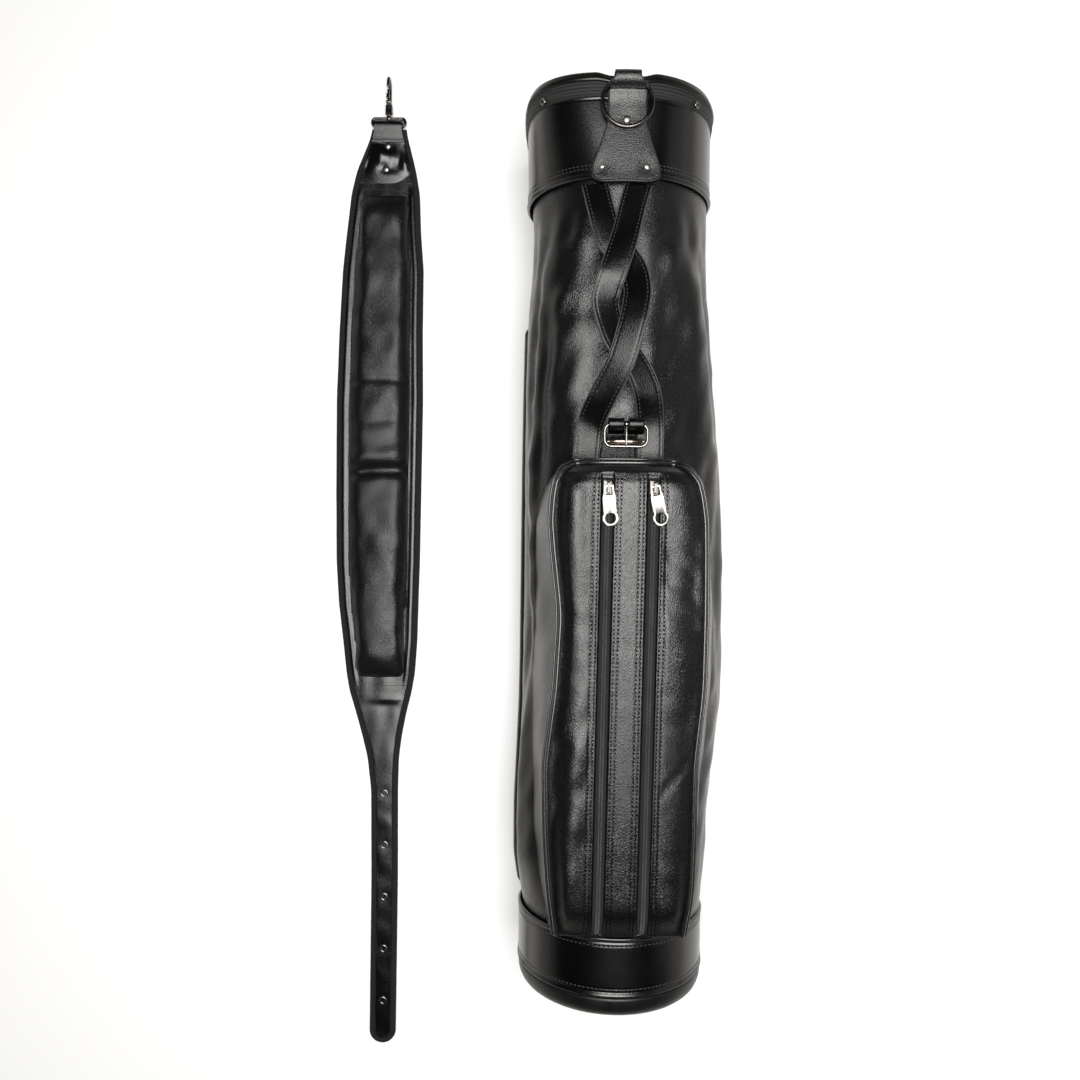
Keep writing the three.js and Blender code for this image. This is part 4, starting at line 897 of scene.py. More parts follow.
def handle_strap(name, points, node_name, roll):
    """A leather strap with a crowned face, painted edges and a stitch row near each edge."""
    path = smooth_path(points, 150) + [BAG_X, 0, 0]
    share = np.linspace(0, 1, 150)
    lean = np.interp(share, [k / (len(roll) - 1) for k in range(len(roll))], roll)
    across = np.linspace(-1, 1, 33)
    face = 1.5 + 0.5 * (1 - across**4) - 0.3 * ridge(np.abs(across) - 0.78, 0.05)
    back = -1.5 + 0 * across
    u = HANDLE_HALF * across
    profile = np.vstack([np.stack([u, face], -1), np.stack([u, back], -1)[::-1]])
    rows = sweep(path, profile, roll=lean)
    lay = np.stack([np.broadcast_to(profile[:, 0], rows.shape[:2]),
                    np.broadcast_to(share[:, None] * HANDLE_LENGTH, rows.shape[:2])], -1)
    made = piece(name, skin(rows, lay=lay), HANDLE_LEATHER, "bag", [node_name])
    edges = []
    for side in (-1, 1):
        line = sweep(path, [(side * (HANDLE_HALF + 0.1), 0.3)], roll=lean)[:, 0]
        edges.append(skin(sweep(line, rounded(1.1, 3.0, 0.5, 4), roll=lean)))
    piece(name + "_edges", together(*edges), EDGE_PAINT, "bag")
    rows_of = []
    for side in (-1, 1):
        line = sweep(path, [(side * 9.4, 1.75)], roll=lean)[:, 0]
        up = sweep(path, [(side * 9.4, 6.0)], roll=lean)[:, 0] - line
        rows_of.append(stitch_row(line, up, 4.2, 2.9, 0.8))
    piece(name + "_stitches", together(*rows_of), PALE_THREAD, "bag", keep=True)
    return made


PIVOT = np.array([BAG_X + 1.2, 136.5, 194.0])
LEAN = math.radians(5)
ROLLER_BAR = -16.2


def on_frame(u, along, up):
    """A place on the buckle's leaning frame: beside, along and over its bar."""
    return PIVOT + np.array([u, along * math.cos(LEAN) - up * math.sin(LEAN),
                             along * math.sin(LEAN) + up * math.cos(LEAN)])


def buckle():
    """The wire frame with its roller and prong, on leather loops and a tongue."""
    turn = np.linspace(0, np.pi / 2, 8)
    path = []
    for k, (sx, sy) in enumerate([(1, 1), (-1, 1), (-1, -1), (1, -1)]):
        for a in turn + k * np.pi / 2:
            path.append(on_frame(sx * 13.5 + 6.5 * math.cos(a), -10.35 + sy * 3.85 + 6.5 * math.sin(a), 0))
    frame_wire = skin(sweep(smooth_path(path, 160, closed=True), circle(1.4, 16), closed=True), along=True)
    bar_line = np.linspace(on_frame(-20, ROLLER_BAR, 0), on_frame(20, ROLLER_BAR, 0), 12)
    bar = skin(sweep(bar_line, circle(1.1, 14)))
    piece("buckle_frame_wire", together(frame_wire, bar), NICKEL, "buckle_frame", ["buckle_frame"])
    tube = [(1.45, -15.2), (2.1, -15.5), (2.4, -15.1), (2.4, 15.1), (2.1, 15.5), (1.45, 15.2)]
    rows = lathe(tube, on_frame(0, ROLLER_BAR, 0), (1, 0, 0), 30)
    piece("buckle_roller_tube", skin(rows, along=True), WARM_METAL, "buckle_roller",
          ["buckle_roller"])
    eye = [(1.8, -1.3), (3.0, -1.3), (3.4, -0.9), (3.4, 0.9), (3.0, 1.3), (1.8, 1.3)]
    eye_shape = skin(lathe(eye, PIVOT, (1, 0, 0), 30), along=True)
    spine = [on_frame(0, -2.4, 1.6), on_frame(0, -6, 2.6), on_frame(0, -12, 3.7), on_frame(0, -19.6, 4)]
    pin = skin(sweep(smooth_path(spine, 30), circle(1.15, 12)))
    piece("buckle_prong_eye", eye_shape, NICKEL, "buckle_prong", ["buckle_prong"])
    piece("buckle_prong_pin", pin, RIVET_METAL, "buckle_prong")

    arc = np.radians(np.linspace(-170, 140, 40))
    outer = np.stack([5.5 * np.cos(arc), 5.5 * np.sin(arc)], -1)
    tail = np.array([(-8.6, -4.4), (-8.6, -7.6)])
    for side, start in (("left", -16.8), ("right", 1.8)):
        ring_outer = np.vstack([outer, tail])
        hole = np.linspace(math.radians(-170), math.radians(190), len(ring_outer))
        ring_inner = np.stack([2.6 * np.cos(hole), 2.6 * np.sin(hole)], -1)
        widths = np.array([0.0, 0.35, 1.4, 7.5, 13.6, 14.65, 15.0])
        swell = np.array([-0.5, 0.0, 0.25, 0.0, 0.25, 0.0, -0.5])
        reach = np.linalg.norm(ring_outer, axis=1)[None, :, None]
        grown = unit(ring_outer)[None] * (reach + swell[:, None, None])
        barrel_x = PIVOT[0] + start + np.broadcast_to(widths[:, None], grown.shape[:2])
        rows = np.stack([barrel_x, PIVOT[1] + grown[..., 0], PIVOT[2] + grown[..., 1]], -1)
        bore = np.stack([barrel_x,
                         np.broadcast_to(PIVOT[1] + ring_inner[:, 0], grown.shape[:2]),
                         np.broadcast_to(PIVOT[2] + ring_inner[:, 1], grown.shape[:2])], -1)
        shape = skin(np.concatenate([rows, bore[::-1]]), along=True)
        piece("buckle_barrel_" + side, shape, HANDLE_LEATHER, "bag", ["buckle_loop_" + side])

    rows_y = np.linspace(101.5, 129, 30)
    table = np.array([[101.5, -22.6, 12.2, 175.5], [112, -21.6, 11.4, 177.5], [124, -19, 11, 181],
                      [129, -16.5, 11, 183.5]])
    left, right, high = (eased(table, rows_y, k, 3) for k in (1, 2, 3))
    across = np.linspace(0, 1, 25)
    x = left[:, None] + (right - left)[:, None] * across
    z = high[:, None] + 1.3 + 0.5 * np.sin(np.pi * across) - 0.25 * ridge(np.abs(across - 0.5) - 0.4, 0.03)
    face = np.stack([x + BAG_X, rows_y[:, None] + 0 * x, z], -1)
    under = face - [0, 0, 2.8]
    shape = skin(np.concatenate([face, under[:, ::-1]], axis=1))
    piece("buckle_tongue", shape, HANDLE_LEATHER, "bag", ["buckle_chape"])


# ---- Bag: ball pocket -----------------------------------------------------------------------
def zip_height(y):
    """Height of the panel along the zips."""
    return np.interp(y, [-335, 82], [203, 227])


POCKET = [[98, -0.8, 42, 212, -50, 52], [95.5, -0.6, 50, 219, -60, 64], [90, 0, 57.5, 224, -69, 77],
          [80, 1, 63.5, 226.6, -76, 85], [66, 1.6, 66.5, 226, -80, 90], [45, 2.5, 68.5, 224.9, -84, 93],
          [20, 4, 68, 223.4, -85, 95], [-40, 8, 65, 220, -85, 98], [-110, 6, 66.5, 216, -85, 99],
          [-180, -1.5, 67.5, 211.9, -84, 92], [-250, -0.5, 66.5, 207.9, -82, 84],
          [-300, 1, 64, 204.4, -79, 80], [-325, 1, 61, 202.4, -76, 77], [-344.6, 1, 58, 189.5, -74, 75]]
ZIPS = {"left": ((-17.5, 82, 227), (-20.5, -335, 203)), "right": ((24, 82, 227), (21.4, -335, 203))}


def zip_u(side, y):
    """Across place of a zip's middle at y."""
    top, foot = ZIPS[side]
    return np.interp(y, [foot[1], top[1]], [foot[0], top[0]])


def pocket_row(y, column):
    """A column of POCKET at y, kept square near the top and soft further down."""
    return eased(POCKET, y, column, 1.6 + 10 * smoothstep(-np.asarray(y, float), -60, 10))


def panel_folds(y, u, share):
    """Soft dents and creases in the pocket's front, away from its zips and edges."""
    keep = smoothstep(1 - np.abs(share), 0.02, 0.18) * smoothstep(y, -344, -325) * smoothstep(-y, -90, -70)
    outer_left = smoothstep(-u, 24, 34)
    outer_right = smoothstep(u, 30, 40)
    centre = smoothstep(u, -10, -5) * (1 - smoothstep(u, 12, 17))
    away = np.maximum(np.maximum(outer_left, outer_right), 0.35 * centre)
    rise = 1.1 * cloudy(u * 1.1, y * 0.5, 62, 11) + 0.25 * cloudy(u, y, 26, 12)
    rise = rise + 4.6 * ridge(u + 46 + 3 * np.sin(y / 70), 12) * outer_left * (0.75 + 0.25 * np.sin(y / 55))
    rise = rise + 1.8 * ridge(u - 50, 14) * outer_right * (0.6 + 0.4 * np.sin(y / 60 + 1))
    for at, tilt, depth in ((28, 0.30, 1.5), (6, 0.34, 1.7), (-16, 0.3, 1.5), (-42, 0.25, 1.2),
                            (-190, -0.5, 1.8)):
        rise = rise - 0.5 * depth * ridge(y - at + tilt * (u - 50) * 2, 8) * outer_right
    for at, tilt, depth in ((-150, 0.55, 2.0), (-205, 0.5, 2.4), (-262, 0.42, 1.8)):
        rise = rise - 0.6 * depth * ridge(y - at - tilt * (u + 45) * 2, 15) * outer_left
    return rise * away * keep


def pocket_point(y, along):
    """The pocket's outer face at y. along runs from -2 at the left foot of the gusset, over -1 and
    1 at the panel's edges, to 2 at the right foot."""
    middle, half, height, left, right = (pocket_row(y, k) for k in range(1, 6))
    body_top = eased(BODY, y, 3)
    drop = np.minimum(9.0, (height - body_top) * 0.6)
    share = np.clip(along, -1, 1)
    over = np.clip(np.abs(along) - 1, 0, 1)
    side = np.sign(along)
    u = middle + half * share
    z = height - drop * np.abs(share) ** 2.6
    z = z + panel_folds(y + 0 * along, u, share) * (over == 0)
    channel = sum(smoothstep(-np.abs(u - zip_u(s, y)), -6.4, -4.9) for s in ZIPS)
    seam = sum(ridge(np.abs(u - zip_u(s, y)) - reach, 0.9) for s in ZIPS for reach in (8.4, 12.2))
    inside = smoothstep(y, -347, -338) * smoothstep(-y, -90, -84) * (over == 0)
    z = z - (2.7 * channel + 0.35 * seam) * inside
    rim = middle + side * half
    foot = np.where(side < 0, left, right)
    bulge = np.sin(np.pi * over) * 3.5 + 1.0 * cloudy(over * 60, y * 0.5, 40, 21) * np.sin(np.pi * over)
    u = np.where(over > 0, rim + (foot - rim) * over**1.15 + side * bulge, u)
    edge = height - drop
    z = np.where(over > 0, edge + (118 - edge) * over, z)
    return np.stack([u + BAG_X, y + 0 * u, z], -1)


def pocket():
    """The pocket's leather: a front panel with sunk channels for the zips, and a gusset."""
    y = np.concatenate([np.linspace(-344.6, 70, 200), np.linspace(71.5, 98, 26)])[:, None]
    along = np.concatenate([np.linspace(-2, -1.03, 26), np.linspace(-1, 1, 154), np.linspace(1.03, 2, 26)])
    rows = pocket_point(y, along[None, :])
    lower = np.minimum(rows[-1:, :, 2:], 160.0)
    middle = [np.concatenate([rows[-1:, :, :1], rows[-1:, :, 1:2] + step * 2.4,
                              rows[-1:, :, 2:] + (lower - rows[-1:, :, 2:]) * step**2], -1)
              for step in (0.35, 0.6, 0.8, 0.92, 1.0)]
    rows = np.concatenate([rows, *middle])
    lay = np.stack([rows[..., 0], rows[..., 1]], -1)
    piece("pocket_leather", skin(rows, around=False, lay=lay), BODY_LEATHER, "bag",
          ["pocket_shell"], wall=2.0)

    def cord_path(out, up):
        """Along the panel's edge, up its left side, over its top and down its right side."""
        place = np.concatenate([np.linspace(-344, 60, 28), np.linspace(70, 97, 10)])
        share = np.linspace(-0.86, 0.86, 12)
        sides = [pocket_point(place, np.full_like(place, side)) for side in (-1, 1)]
        top = pocket_point(np.full_like(share, 97.8), share)
        line = smooth_path(np.vstack([sides[0], top, sides[1][::-1]]), 520)
        along = slopes(line)
        away = unit(np.stack([-along[:, 1], along[:, 0], 0 * along[:, 0]], -1))
        return line + out * away + [0, 0, up]
    rows = sweep(cord_path(0.9, 1.0), circle(1.9, 14))
    piece("pocket_piping_cord", skin(rows), PIPING_LEATHER, "bag", ["pocket_piping"])
    rows = sweep(cord_path(4.4, -2.6), circle(1.2, 10))
    piece("gusset_fold", skin(rows), PIPING_LEATHER, "bag")

    dashes = []
    place = np.linspace(-338, 84, 300)
    for side in ZIPS:
        for reach in (-12.2, -8.4, 8.4, 12.2):
            u = zip_u(side, place) + reach
            line = panel_line(place, u)
            dashes.append(stitch_row(line, np.broadcast_to([0, 0, 1.0], line.shape), 3.8, 2.3, 1.25, 0.3))
    piece("pocket_stitches", together(*dashes), THREAD, "bag", keep=True)


def panel_line(y, u):
    """Points of the pocket's front at y and u."""
    middle, half = (pocket_row(y, k) for k in (1, 2))
    return pocket_point(y, np.clip((u - middle) / half, -1, 1))


def zip_frame(side):
    """Place and directions of a zip: its top, then across, along (towards the top) and out."""
    top, foot = (np.array(p, float) + [BAG_X, 0, 0] for p in ZIPS[side])
    along = unit(top - foot)
    across = unit(np.cross(along, (0, 0, 1.0)))
    return top, across, along, np.cross(across, along), float(np.linalg.norm(top - foot))


def zips():
    """Woven tapes, nylon coil, sliders and pulls."""
    for side in ZIPS:
        top, across, along, out, length = zip_frame(side)

        def sink(y):
            """How far the panel lies below the zip's own straight line, never above it."""
            place = 82 + y * along[1]
            return np.minimum(0, pocket_row(place, 3) - zip_height(place))
        cross = np.array([(-5, -1.2), (-2.8, -1.15), (-2.5, -0.9), (2.5, -0.9), (2.8, -1.15), (5, -1.2),
                          (5, -2.1), (-5, -2.1)])
        y = np.linspace(2, -length - 8, 80)
        rows = top + y[:, None, None] * along + cross[None, :, :1] * across
        rows = rows + (cross[None, :, 1:] + sink(y)[:, None, None]) * out
        lay = np.stack(np.broadcast_arrays(cross[:, 0], y[:, None]), -1)
        piece("zip_webbing_" + side, skin(rows, lay=lay), ZIP_TAPE, "bag", ["zip_tape_" + side])
        coils = []
        pitch = 1.7
        for hand in (-1, 1):
            y = -np.arange(2.0 + (hand > 0) * pitch / 2, length + 6, pitch)
            origin = top + hand * 1.15 * across + y[:, None] * along + (0.1 + sink(y)[:, None]) * out
            lean = np.broadcast_to(across + hand * 0.12 * along, origin.shape)
            coils.append(copies(bead_shape(2.7, 1.25, 1.5), origin, lean, np.broadcast_to(out, origin.shape)))
        piece("zip_coil_" + side, together(*coils), ZIP_COIL, "bag", ["zip_chain_" + side],
              keep=True)
        slider, pull = "zip_slider_" + side, "zip_pull_" + side
        soft_copy("zip_slider_body_" + side, slider, GUNMETAL, slider, 0.4)
        soft_copy("zip_pull_plate_" + side, pull, NICKEL, pull, 0.3)


def side_pocket():
    """The slim pocket round the lower left of the back: a rounded slab that thins to its edges."""
    y = edge_rows(-335.0, 253.0, 150)[:, None]
    turn = np.linspace(math.radians(-147.8), math.radians(-96.5), 60)[None, :]
    share = (turn - turn[0, 0]) / (turn[0, -1] - turn[0, 0])
    edge = np.minimum(np.minimum(share, 1 - share) * 82, np.minimum(253 - y, y + 335))
    thick = 4.6 * np.clip(edge / 4.5, 0.0, 1) ** 0.5
    thick = thick + 0.9 * cloudy(share * 80, y * 0.5, 60, 31) * smoothstep(edge, 4, 16)
    rows_out = section(BODY, y, turn, 0.7 + np.clip(thick, 0.1, 5.4))
    rows_in = section(BODY, y, turn, 0.6)
    rows = np.concatenate([rows_out, rows_in[:, ::-1]], axis=1)
    rows[..., 2] = np.maximum(rows[..., 2], 0.4)
    piece("side_pocket_leather", skin(rows), BODY_LEATHER, "bag", ["side_pocket"])


def divider():
    """Two crossed padded arms in the mouth, thicker in their middles."""
    arms = []
    for angle in (45, -45):
        turn = math.radians(angle)
        direction = np.array([math.cos(turn), 0, math.sin(turn)])
        share = np.linspace(-1, 1, 60)
        path = np.array([BAG_X, 439, 95.0]) + share[:, None] * 93 * direction
        swell = 4.6 + 0.4 * np.cos(share * 9)
        ring = circle(1.0, 20)[None] * swell[:, None, None]
        arms.append(skin(sweep(path, ring, up=(0, 1, 0))))
    piece("divider_padding", together(*arms), LINING, "bag", ["club_divider"])


# ---- Shoulder strap -------------------------------------------------------------------------
STRAP = [[498, -157.2, 19.4], [487, -157.5, 21.6], [478, -157.8, 24.5], [449, -160, 34], [423, -160.6, 39.2],
         [380, -162, 42.4], [335, -162.4, 46.4], [263, -164, 47.9], [185, -164.4, 49.6],
         [82, -164.4, 48.9], [0, -164, 47.9], [-50, -162.8, 45.6], [-90, -160.5, 42.6],
         [-128, -159.5, 39.3], [-150, -159.2, 35.4], [-173, -158.4, 29], [-200, -157, 22.6],
         [-225, -155.4, 18], [-262, -153.4, 15.4], [-364, -152, 15.2], [-538.3, -152, 15]]
EYELET_PITCH = 59.5
EYELETS = [-266 - EYELET_PITCH * k for k in range(5)]
NECK_RIVETS = {"upper": (476, 7.4), "lower": (450, 6.4)}
LOOP_Y = 498.5


def strap_middle(y):
    """Across place of the strap's middle."""
    return eased(STRAP, y, 1, 6)


def strap_half(y):
    """Half width of the strap's outline; its tail is round."""
    round_end = np.sqrt(np.clip(1 - (np.clip(-538.3 - y, 0, 15) / 15.0) ** 2, 0, 1))
    return eased(STRAP, np.maximum(y, -538.3), 2, 6) * round_end


def strap_outline(inset, count):
    """The strap's outline, moved in by inset: down its right side, round its tail and up its left."""
    y = np.concatenate([np.linspace(497, -538, 180), -538.3 - 15 * np.sin(np.linspace(0.02, np.pi / 2, 14))])
    right = np.stack([strap_middle(y) + strap_half(y), y], -1)
    left = np.stack([strap_middle(y) - strap_half(y), y], -1)[::-1]
    line = smooth_path(np.vstack([right, left[1:]]), count)
    along = slopes(line)
    normal = np.stack([along[:, 1], -along[:, 0]], -1)
    return line + inset * normal


def wrinkles(x, y):
    """Soft wrinkles of the strap's leather, in mm."""
    rise = 0.45 * cloudy(x * 1.2, y * 0.8, 34, 41)
    tail = smoothstep(-y, 250, 300)
    rise = rise + 0.5 * tail * np.sin(y / 7.0 + x * 0.12) * ridge(((y - EYELETS[0]) % EYELET_PITCH) - 30, 14)
    rise = rise + 1.6 * ridge(y + 158, 4) * ridge(x + 150, 18) - 0.8 * ridge(y + 166, 5) * ridge(x + 150, 22)
    return rise


def strap_leather():
    """The strap's leather between its bindings."""
    tail = -535 - 12.5 * np.sin(np.linspace(0.1, 1.35, 10))
    y = np.concatenate([np.linspace(486.4, -535, 420), tail])[:, None]
    across = np.linspace(-1, 1, 41)[None, :]
    half = np.maximum(strap_half(y) - 5.0, 1.2)
    x = strap_middle(y) + half * across
    z = 3.7 + 0.5 * (1 - across**2) + 0.6 * wrinkles(x, y) * smoothstep(1 - np.abs(across), 0, 0.3)
    beside_pad = smoothstep(y, -150, -120) * smoothstep(-y, -432, -420)
    z = z + 1.5 * ridge(half * (1 - np.abs(across)) - 4.2, 1.7) * beside_pad
    for place in EYELETS:
        z = z - 0.5 * ridge(np.hypot(x - strap_middle(place), y - place), 7)
    rows = np.stack([x, y + 0 * x, z], -1)
    lay = np.stack([x, y + 0 * x], -1)
    leather_sheet = piece("strap_leather", skin(rows, around=False, lay=lay), STRAP_LEATHER, "shoulder_strap",
                          ["strap_sheet"], wall=2.4)


def strap_binding():
    """Tape folded round the strap's edge, with a stitch row near its inner side."""
    line = strap_outline(3.75, 1500)
    run = np.linspace(0, 2130, 1500)
    path = np.column_stack([line, np.full(1500, 2.15)])
    profile = rounded(7.5, 4.3, 1.7, 5)
    path[:, 2] = path[:, 2] + 0.15 * np.sin(run / 9.0)
    rows = sweep(path, profile)
    rows[..., 2] = np.maximum(rows[..., 2], 0.0)
    lay = np.stack(np.broadcast_arrays(profile[:, 0], run[:, None]), -1)
    piece("strap_binding_tape", skin(rows, lay=lay), BINDING, "shoulder_strap",
          ["strap_binding"])
    stitch_line = strap_outline(6.2, 1500)
    path = np.column_stack([stitch_line, np.full(1500, 4.25)])
    dashes = stitch_row(path, np.broadcast_to([0, 0, 1.0], path.shape), 3.8, 2.4, 1.0, 0.0)
    piece("strap_stitches", dashes, THREAD, "shoulder_strap", keep=True)


def pad_height(x, y):
    """Creases of the pad, in mm, below its even crown."""
    side = x - strap_middle(y)
    dip = 2.4 * ridge(y - 208 + 0.0016 * side**2, 5.0) + 1.5 * ridge(y - 160 - 0.1 * side, 7)
    dip = dip + 5.2 * ridge(y - 104 - 0.05 * side + 0.002 * side**2, 6.5)
    dip = dip - 2.6 * ridge(y - 120 - 0.1 * side, 9)
    dip = dip + 2.2 * ridge(y + 34, 14) * smoothstep(side, 18, 40)
    dip = dip + 1.4 * ridge(y - 300, 20) * smoothstep(-side, 16, 36)
    dip = dip + 1.8 * ridge(y - 250, 24) * smoothstep(-side, 18, 38)
    dip = dip + 1.6 * ridge(y - 160, 18) * smoothstep(side, 20, 38)
    return 1.5 * cloudy(x * 0.8, y * 0.8, 62, 51) + 0.5 * cloudy(x, y, 26, 52) - dip


def strap_pad():
    """The pad: a crowned closed form, blown up a little as cloth, then creased."""
    y = edge_rows(-135.5, 421.5, 120)[:, None]
    turn = np.linspace(0, TAU, 48, endpoint=False)[None, :]
    half = strap_half(y) - 10.4
    end = np.clip(np.minimum(423 - y, y + 137) / 30, 0.02, 1)
    lift = 9.5 * np.sin(np.pi / 2 * end) ** 0.7 + 1.6
    x = strap_middle(y) + half * np.sign(np.cos(turn)) * np.abs(np.cos(turn)) ** 0.72
    up = np.sign(np.sin(turn)) * np.abs(np.sin(turn)) ** 0.8
    z = 5.2 + np.where(up > 0, lift * up, 0.6 * up)
    pad = piece("strap_pad_cushion", skin(np.stack([x, y + 0 * x, z], -1)), PAD_LEATHER, "shoulder_strap",
                ["strap_pad"])
    blow_up(pad)
    mesh = pad.data
    points = np.empty(len(mesh.vertices) * 3, np.float32)
    mesh.vertices.foreach_get("co", points)
    points = points.reshape(-1, 3).astype(float) / MM
    share = smoothstep(points[:, 2], 5.5, 10)
    points[:, 2] += share * pad_height(points[:, 0], points[:, 1])
    points[:, 2] = np.maximum(points[:, 2], 4.3)
    mesh.vertices.foreach_set("co", (points * MM).astype(np.float32).ravel())
    mesh.update()
    smooth = pad.modifiers.new("fine", "SUBSURF")
    smooth.levels = smooth.render_levels = 1
    return pad


PAD_CLOTH = {"quality": 5, "mass": 0.3, "tension_stiffness": 20, "compression_stiffness": 20,
             "bending_stiffness": 2, "use_pressure": True, "uniform_pressure_force": 4}
PAD_GIVE = 0.003


def blow_up(pad):
    """Remeshes a pad at 4 mm and lets cloth pressure fill it for 20 frames, moving no point more
    than 3 mm, then keeps that shape."""
    remesh = pad.modifiers.new("even", "REMESH")
    remesh.mode = "VOXEL"
    remesh.voxel_size = 0.004
    apply_modifiers(pad)
    start = mesh_points(pad)
    settings = pad.modifiers.new("cloth", "CLOTH").settings
    for name, value in PAD_CLOTH.items():
        setattr(settings, name, value)
    settings.effector_weights.gravity = 0
    scene = bpy.context.scene
    for count in range(1, 21):
        scene.frame_set(count)
    apply_modifiers(pad)
    scene.frame_set(1)
    end = mesh_points(pad)
    move = end - start
    far = np.linalg.norm(move, axis=1, keepdims=True)
    kept = start + move * np.minimum(1, PAD_GIVE / np.maximum(far, 1e-9))
    pad.data.vertices.foreach_set("co", kept.astype(np.float32).ravel())
    pad.data.polygons.foreach_set("use_smooth", np.ones(len(pad.data.polygons), bool))
    pad.data.update()


def mesh_points(made):
    """A mesh's points, in metres."""
    points = np.empty(len(made.data.vertices) * 3, np.float32)
    made.data.vertices.foreach_get("co", points)
    return points.reshape(-1, 3).astype(float)


def apply_modifiers(made):
    """Makes what the modifiers show the mesh itself."""
    shown = made.evaluated_get(bpy.context.evaluated_depsgraph_get())
    mesh = bpy.data.meshes.new_from_object(shown)
    made.modifiers.clear()
    made.data = mesh


def strap_end_stitches():
    """Sewn rows that close the pad's two ends."""
    rows = []
    for y, bend in ((427.5, -2.5), (-141.5, 1.5)):
        x = np.linspace(-1, 1, 60)
        half = strap_half(np.array(y)) - 9
        path = np.column_stack([strap_middle(np.array(y)) + half * x, y + bend * x**2 - 2 * x, 4.6 + 0 * x])
        rows.append(stitch_row(path, np.broadcast_to([0, 0, 1.0], path.shape), 3.6, 2.5, 0.8, 0.0))
    piece("pad_stitches", together(*rows), PALE_THREAD, "shoulder_strap", keep=True)


def strap_eyelets():
    """Rolled metal eyelets in the tail, each with a short tube."""
    for k, y in enumerate(EYELETS):
        profile = [(2.3, 0.7), (2.9, 0.7), (2.9, 3.6), (4.2, 3.7), (4.7, 4.1), (4.6, 4.7), (4.0, 5.15),
                   (3.2, 5.2), (2.6, 4.9), (2.3, 4.3)]
        place = (float(strap_middle(np.array(float(y)))), y, 0)
        piece("eyelet_ring_%d" % (k + 1), skin(lathe(profile, place), along=True), NICKEL, "shoulder_strap",
              ["strap_eyelet_%d" % (k + 1)])


def strap_neck():
    """The neck's leather, folded round the loop's bar and pulled flat by two rivets."""
    spine = np.array([(-64.0, -6.6), (-56, -5.4), (-48, -4.2), (-38, -2.6), (-26, -1.0), (-13, 0.4),
                      (-6, 3.0), (-2.5, 4.2), (1.2, 4.3), (3.9, 2.2), (4.3, -0.8), (2.6, -3.6), (-2, -4.6),
                      (-12, -4.7)])
    spine = smooth_path(spine, 100)
    across = np.linspace(-1, 1, 61)
    y = LOOP_Y + spine[:, :1] + 0 * across
    half = strap_half(y) - 4.6
    half = half + (15.8 - half) * smoothstep(y, 488, 497)
    x = strap_middle(y) + half * across
    z = 9 + spine[:, 1:] + 0 * across
    first = (np.arange(100) < 50)[:, None]
    dents = sum(2.6 * ridge(np.hypot(x - strap_middle(place), y - place), 8)
                for place, _ in NECK_RIVETS.values())
    puffs = 1.5 * cloudy(x * 1.2, y, 26, 61) + 1.2 * ridge(np.abs(x + 158) - 9, 4) * ridge(y - 463, 10)
    keep = smoothstep(-spine[:, :1], 4, 16) * smoothstep(spine[:, :1], -56, -40)
    z = z + np.where(first, (puffs * smoothstep(1 - np.abs(across), 0, 0.25) - dents) * keep, 0)
    z = np.where(first, z - 3.2 * np.abs(across) ** 3 * smoothstep(-spine[:, :1], 8, 22), z)
    z = np.maximum(z, 2.2)
    rows = np.stack([x, y, z], -1)
    lay = np.stack([x, np.broadcast_to(np.linspace(0, 120, 100)[:, None], x.shape)], -1)
    piece("strap_neck_leather", skin(rows, around=False, lay=lay), STRAP_LEATHER, "shoulder_strap",
          ["strap_neck"], wall=-1.8)
    t = np.linspace(0, np.pi / 2, 10)
    for name, (y, seat) in NECK_RIVETS.items():
        dome = [(0.0, 1.0), (2.0, 1.0), (2.0, seat), (4.2, seat), (4.5, seat + 0.5)]
        dome += [(4.3 * math.cos(a), seat + 0.7 + 2.1 * math.sin(a)) for a in t]
        place = (float(strap_middle(np.array(float(y)))), y, 0)
        piece("strap_rivet_dome_" + name, skin(lathe(dome, place)), RIVET_METAL, "shoulder_strap",
              ["strap_rivet_" + name])


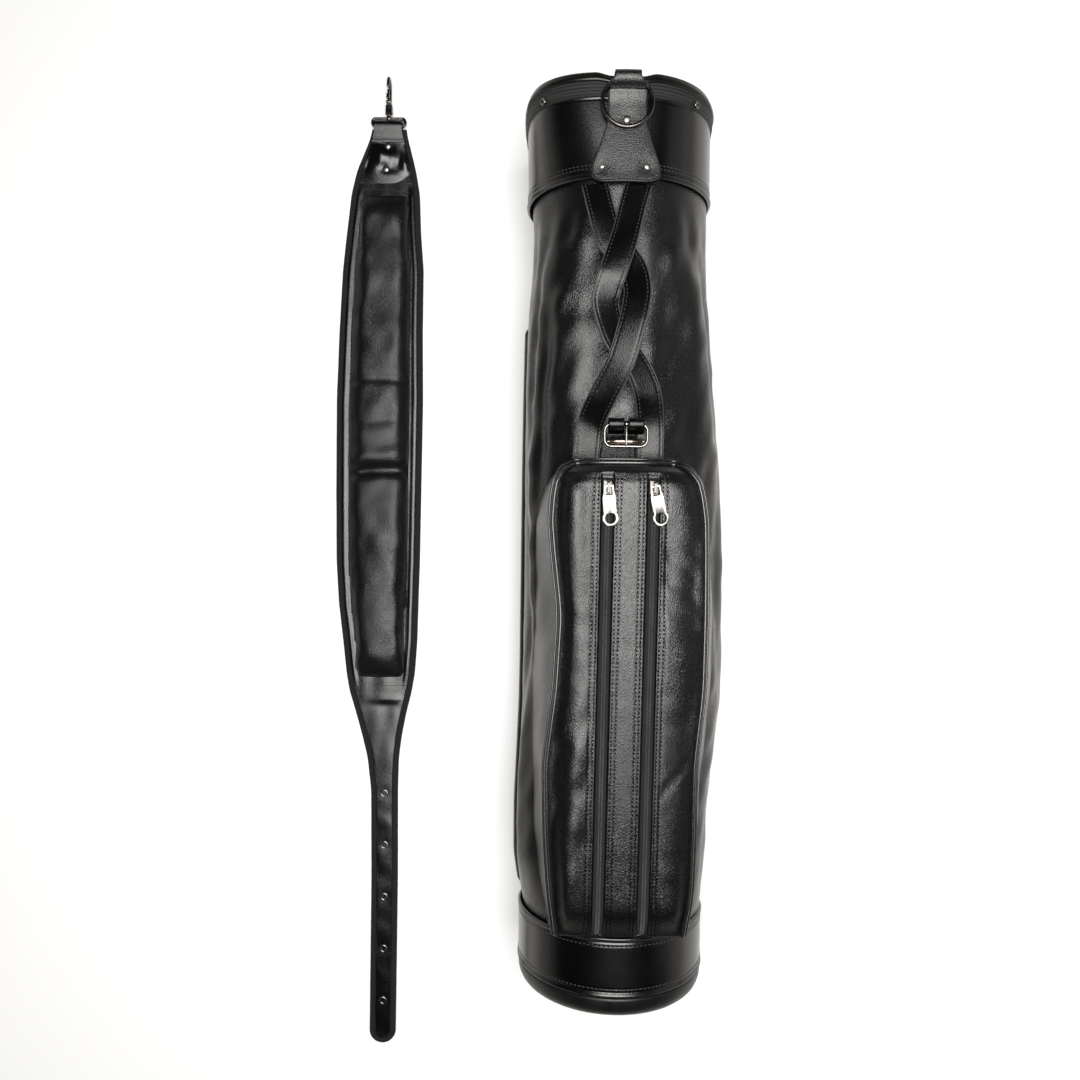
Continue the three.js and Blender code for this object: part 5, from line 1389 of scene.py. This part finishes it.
def snap_hardware():
    """The loop, the swivel eye, the snap hook and its gate."""
    turn = np.linspace(0, np.pi / 2, 7)
    path = []
    for k, (sx, sy) in enumerate([(1, 1), (-1, 1), (-1, -1), (1, -1)]):
        for a in turn + k * np.pi / 2:
            path.append((-157 + sx * 15.1 + 3.4 * math.cos(a), 502.5 + sy * 0.6 + 3.4 * math.sin(a), 9.0))
    path = smooth_path(path, 140, closed=True)
    wire = skin(sweep(path, circle(1.9, 16), closed=True), along=True)
    piece("strap_loop_wire", wire, GUNMETAL, "strap_loop", ["strap_loop"])
    eye = [(2.2, -2.0), (2.4, -2.2), (3.2, -2.2), (3.6, -1.5), (3.7, 0), (3.6, 1.5), (3.2, 2.2), (2.4, 2.2),
           (2.2, 2.0)]
    ring = skin(lathe(eye, (-157, 506.5, 9), (1, 0, 0), 30), along=True)
    stem = [(0, 0), (1.7, 0.0), (1.5, 1.5), (1.5, 7.5), (2.5, 7.7), (2.6, 8.4), (2.1, 9.2), (0, 9.3)]
    shaft = skin(lathe(stem, (-157, 509.6, 9), (0, 1, 0), 20))
    piece("swivel_eye_ring", together(ring, shaft), GUNMETAL, "swivel_eye", ["swivel_eye"])
    soft_copy("snap_hook_body", "snap_hook", GUNMETAL, "snap_hook", 0.35)
    soft_copy("hook_gate_lever", "hook_gate", GUNMETAL, "hook_gate", 0.25)


# ---- Put together ---------------------------------------------------------------------------
studio()
body_shell()
collar()
rim()
cuff_and_foot()
tab()
tab_rivets()
divider_screws()
carry_ring()
handle_strap("handle_right", HANDLE_RIGHT, "handle_strap_right", [-8, -16, -14, -4, 10, 22, 18, 8, 0, 0, 0])
handle_strap("handle_left", HANDLE_LEFT, "handle_strap_left", [6, 8, 0, -10, -16, -18, -10, -4, 4, 6, 0])
buckle()
pocket()
zips()
side_pocket()
divider()
strap_binding()
strap_leather()
strap_pad()
strap_end_stitches()
strap_eyelets()
strap_neck()
snap_hardware()
dress("foot_board", LINING)
dress("spine_stay", PLASTIC)
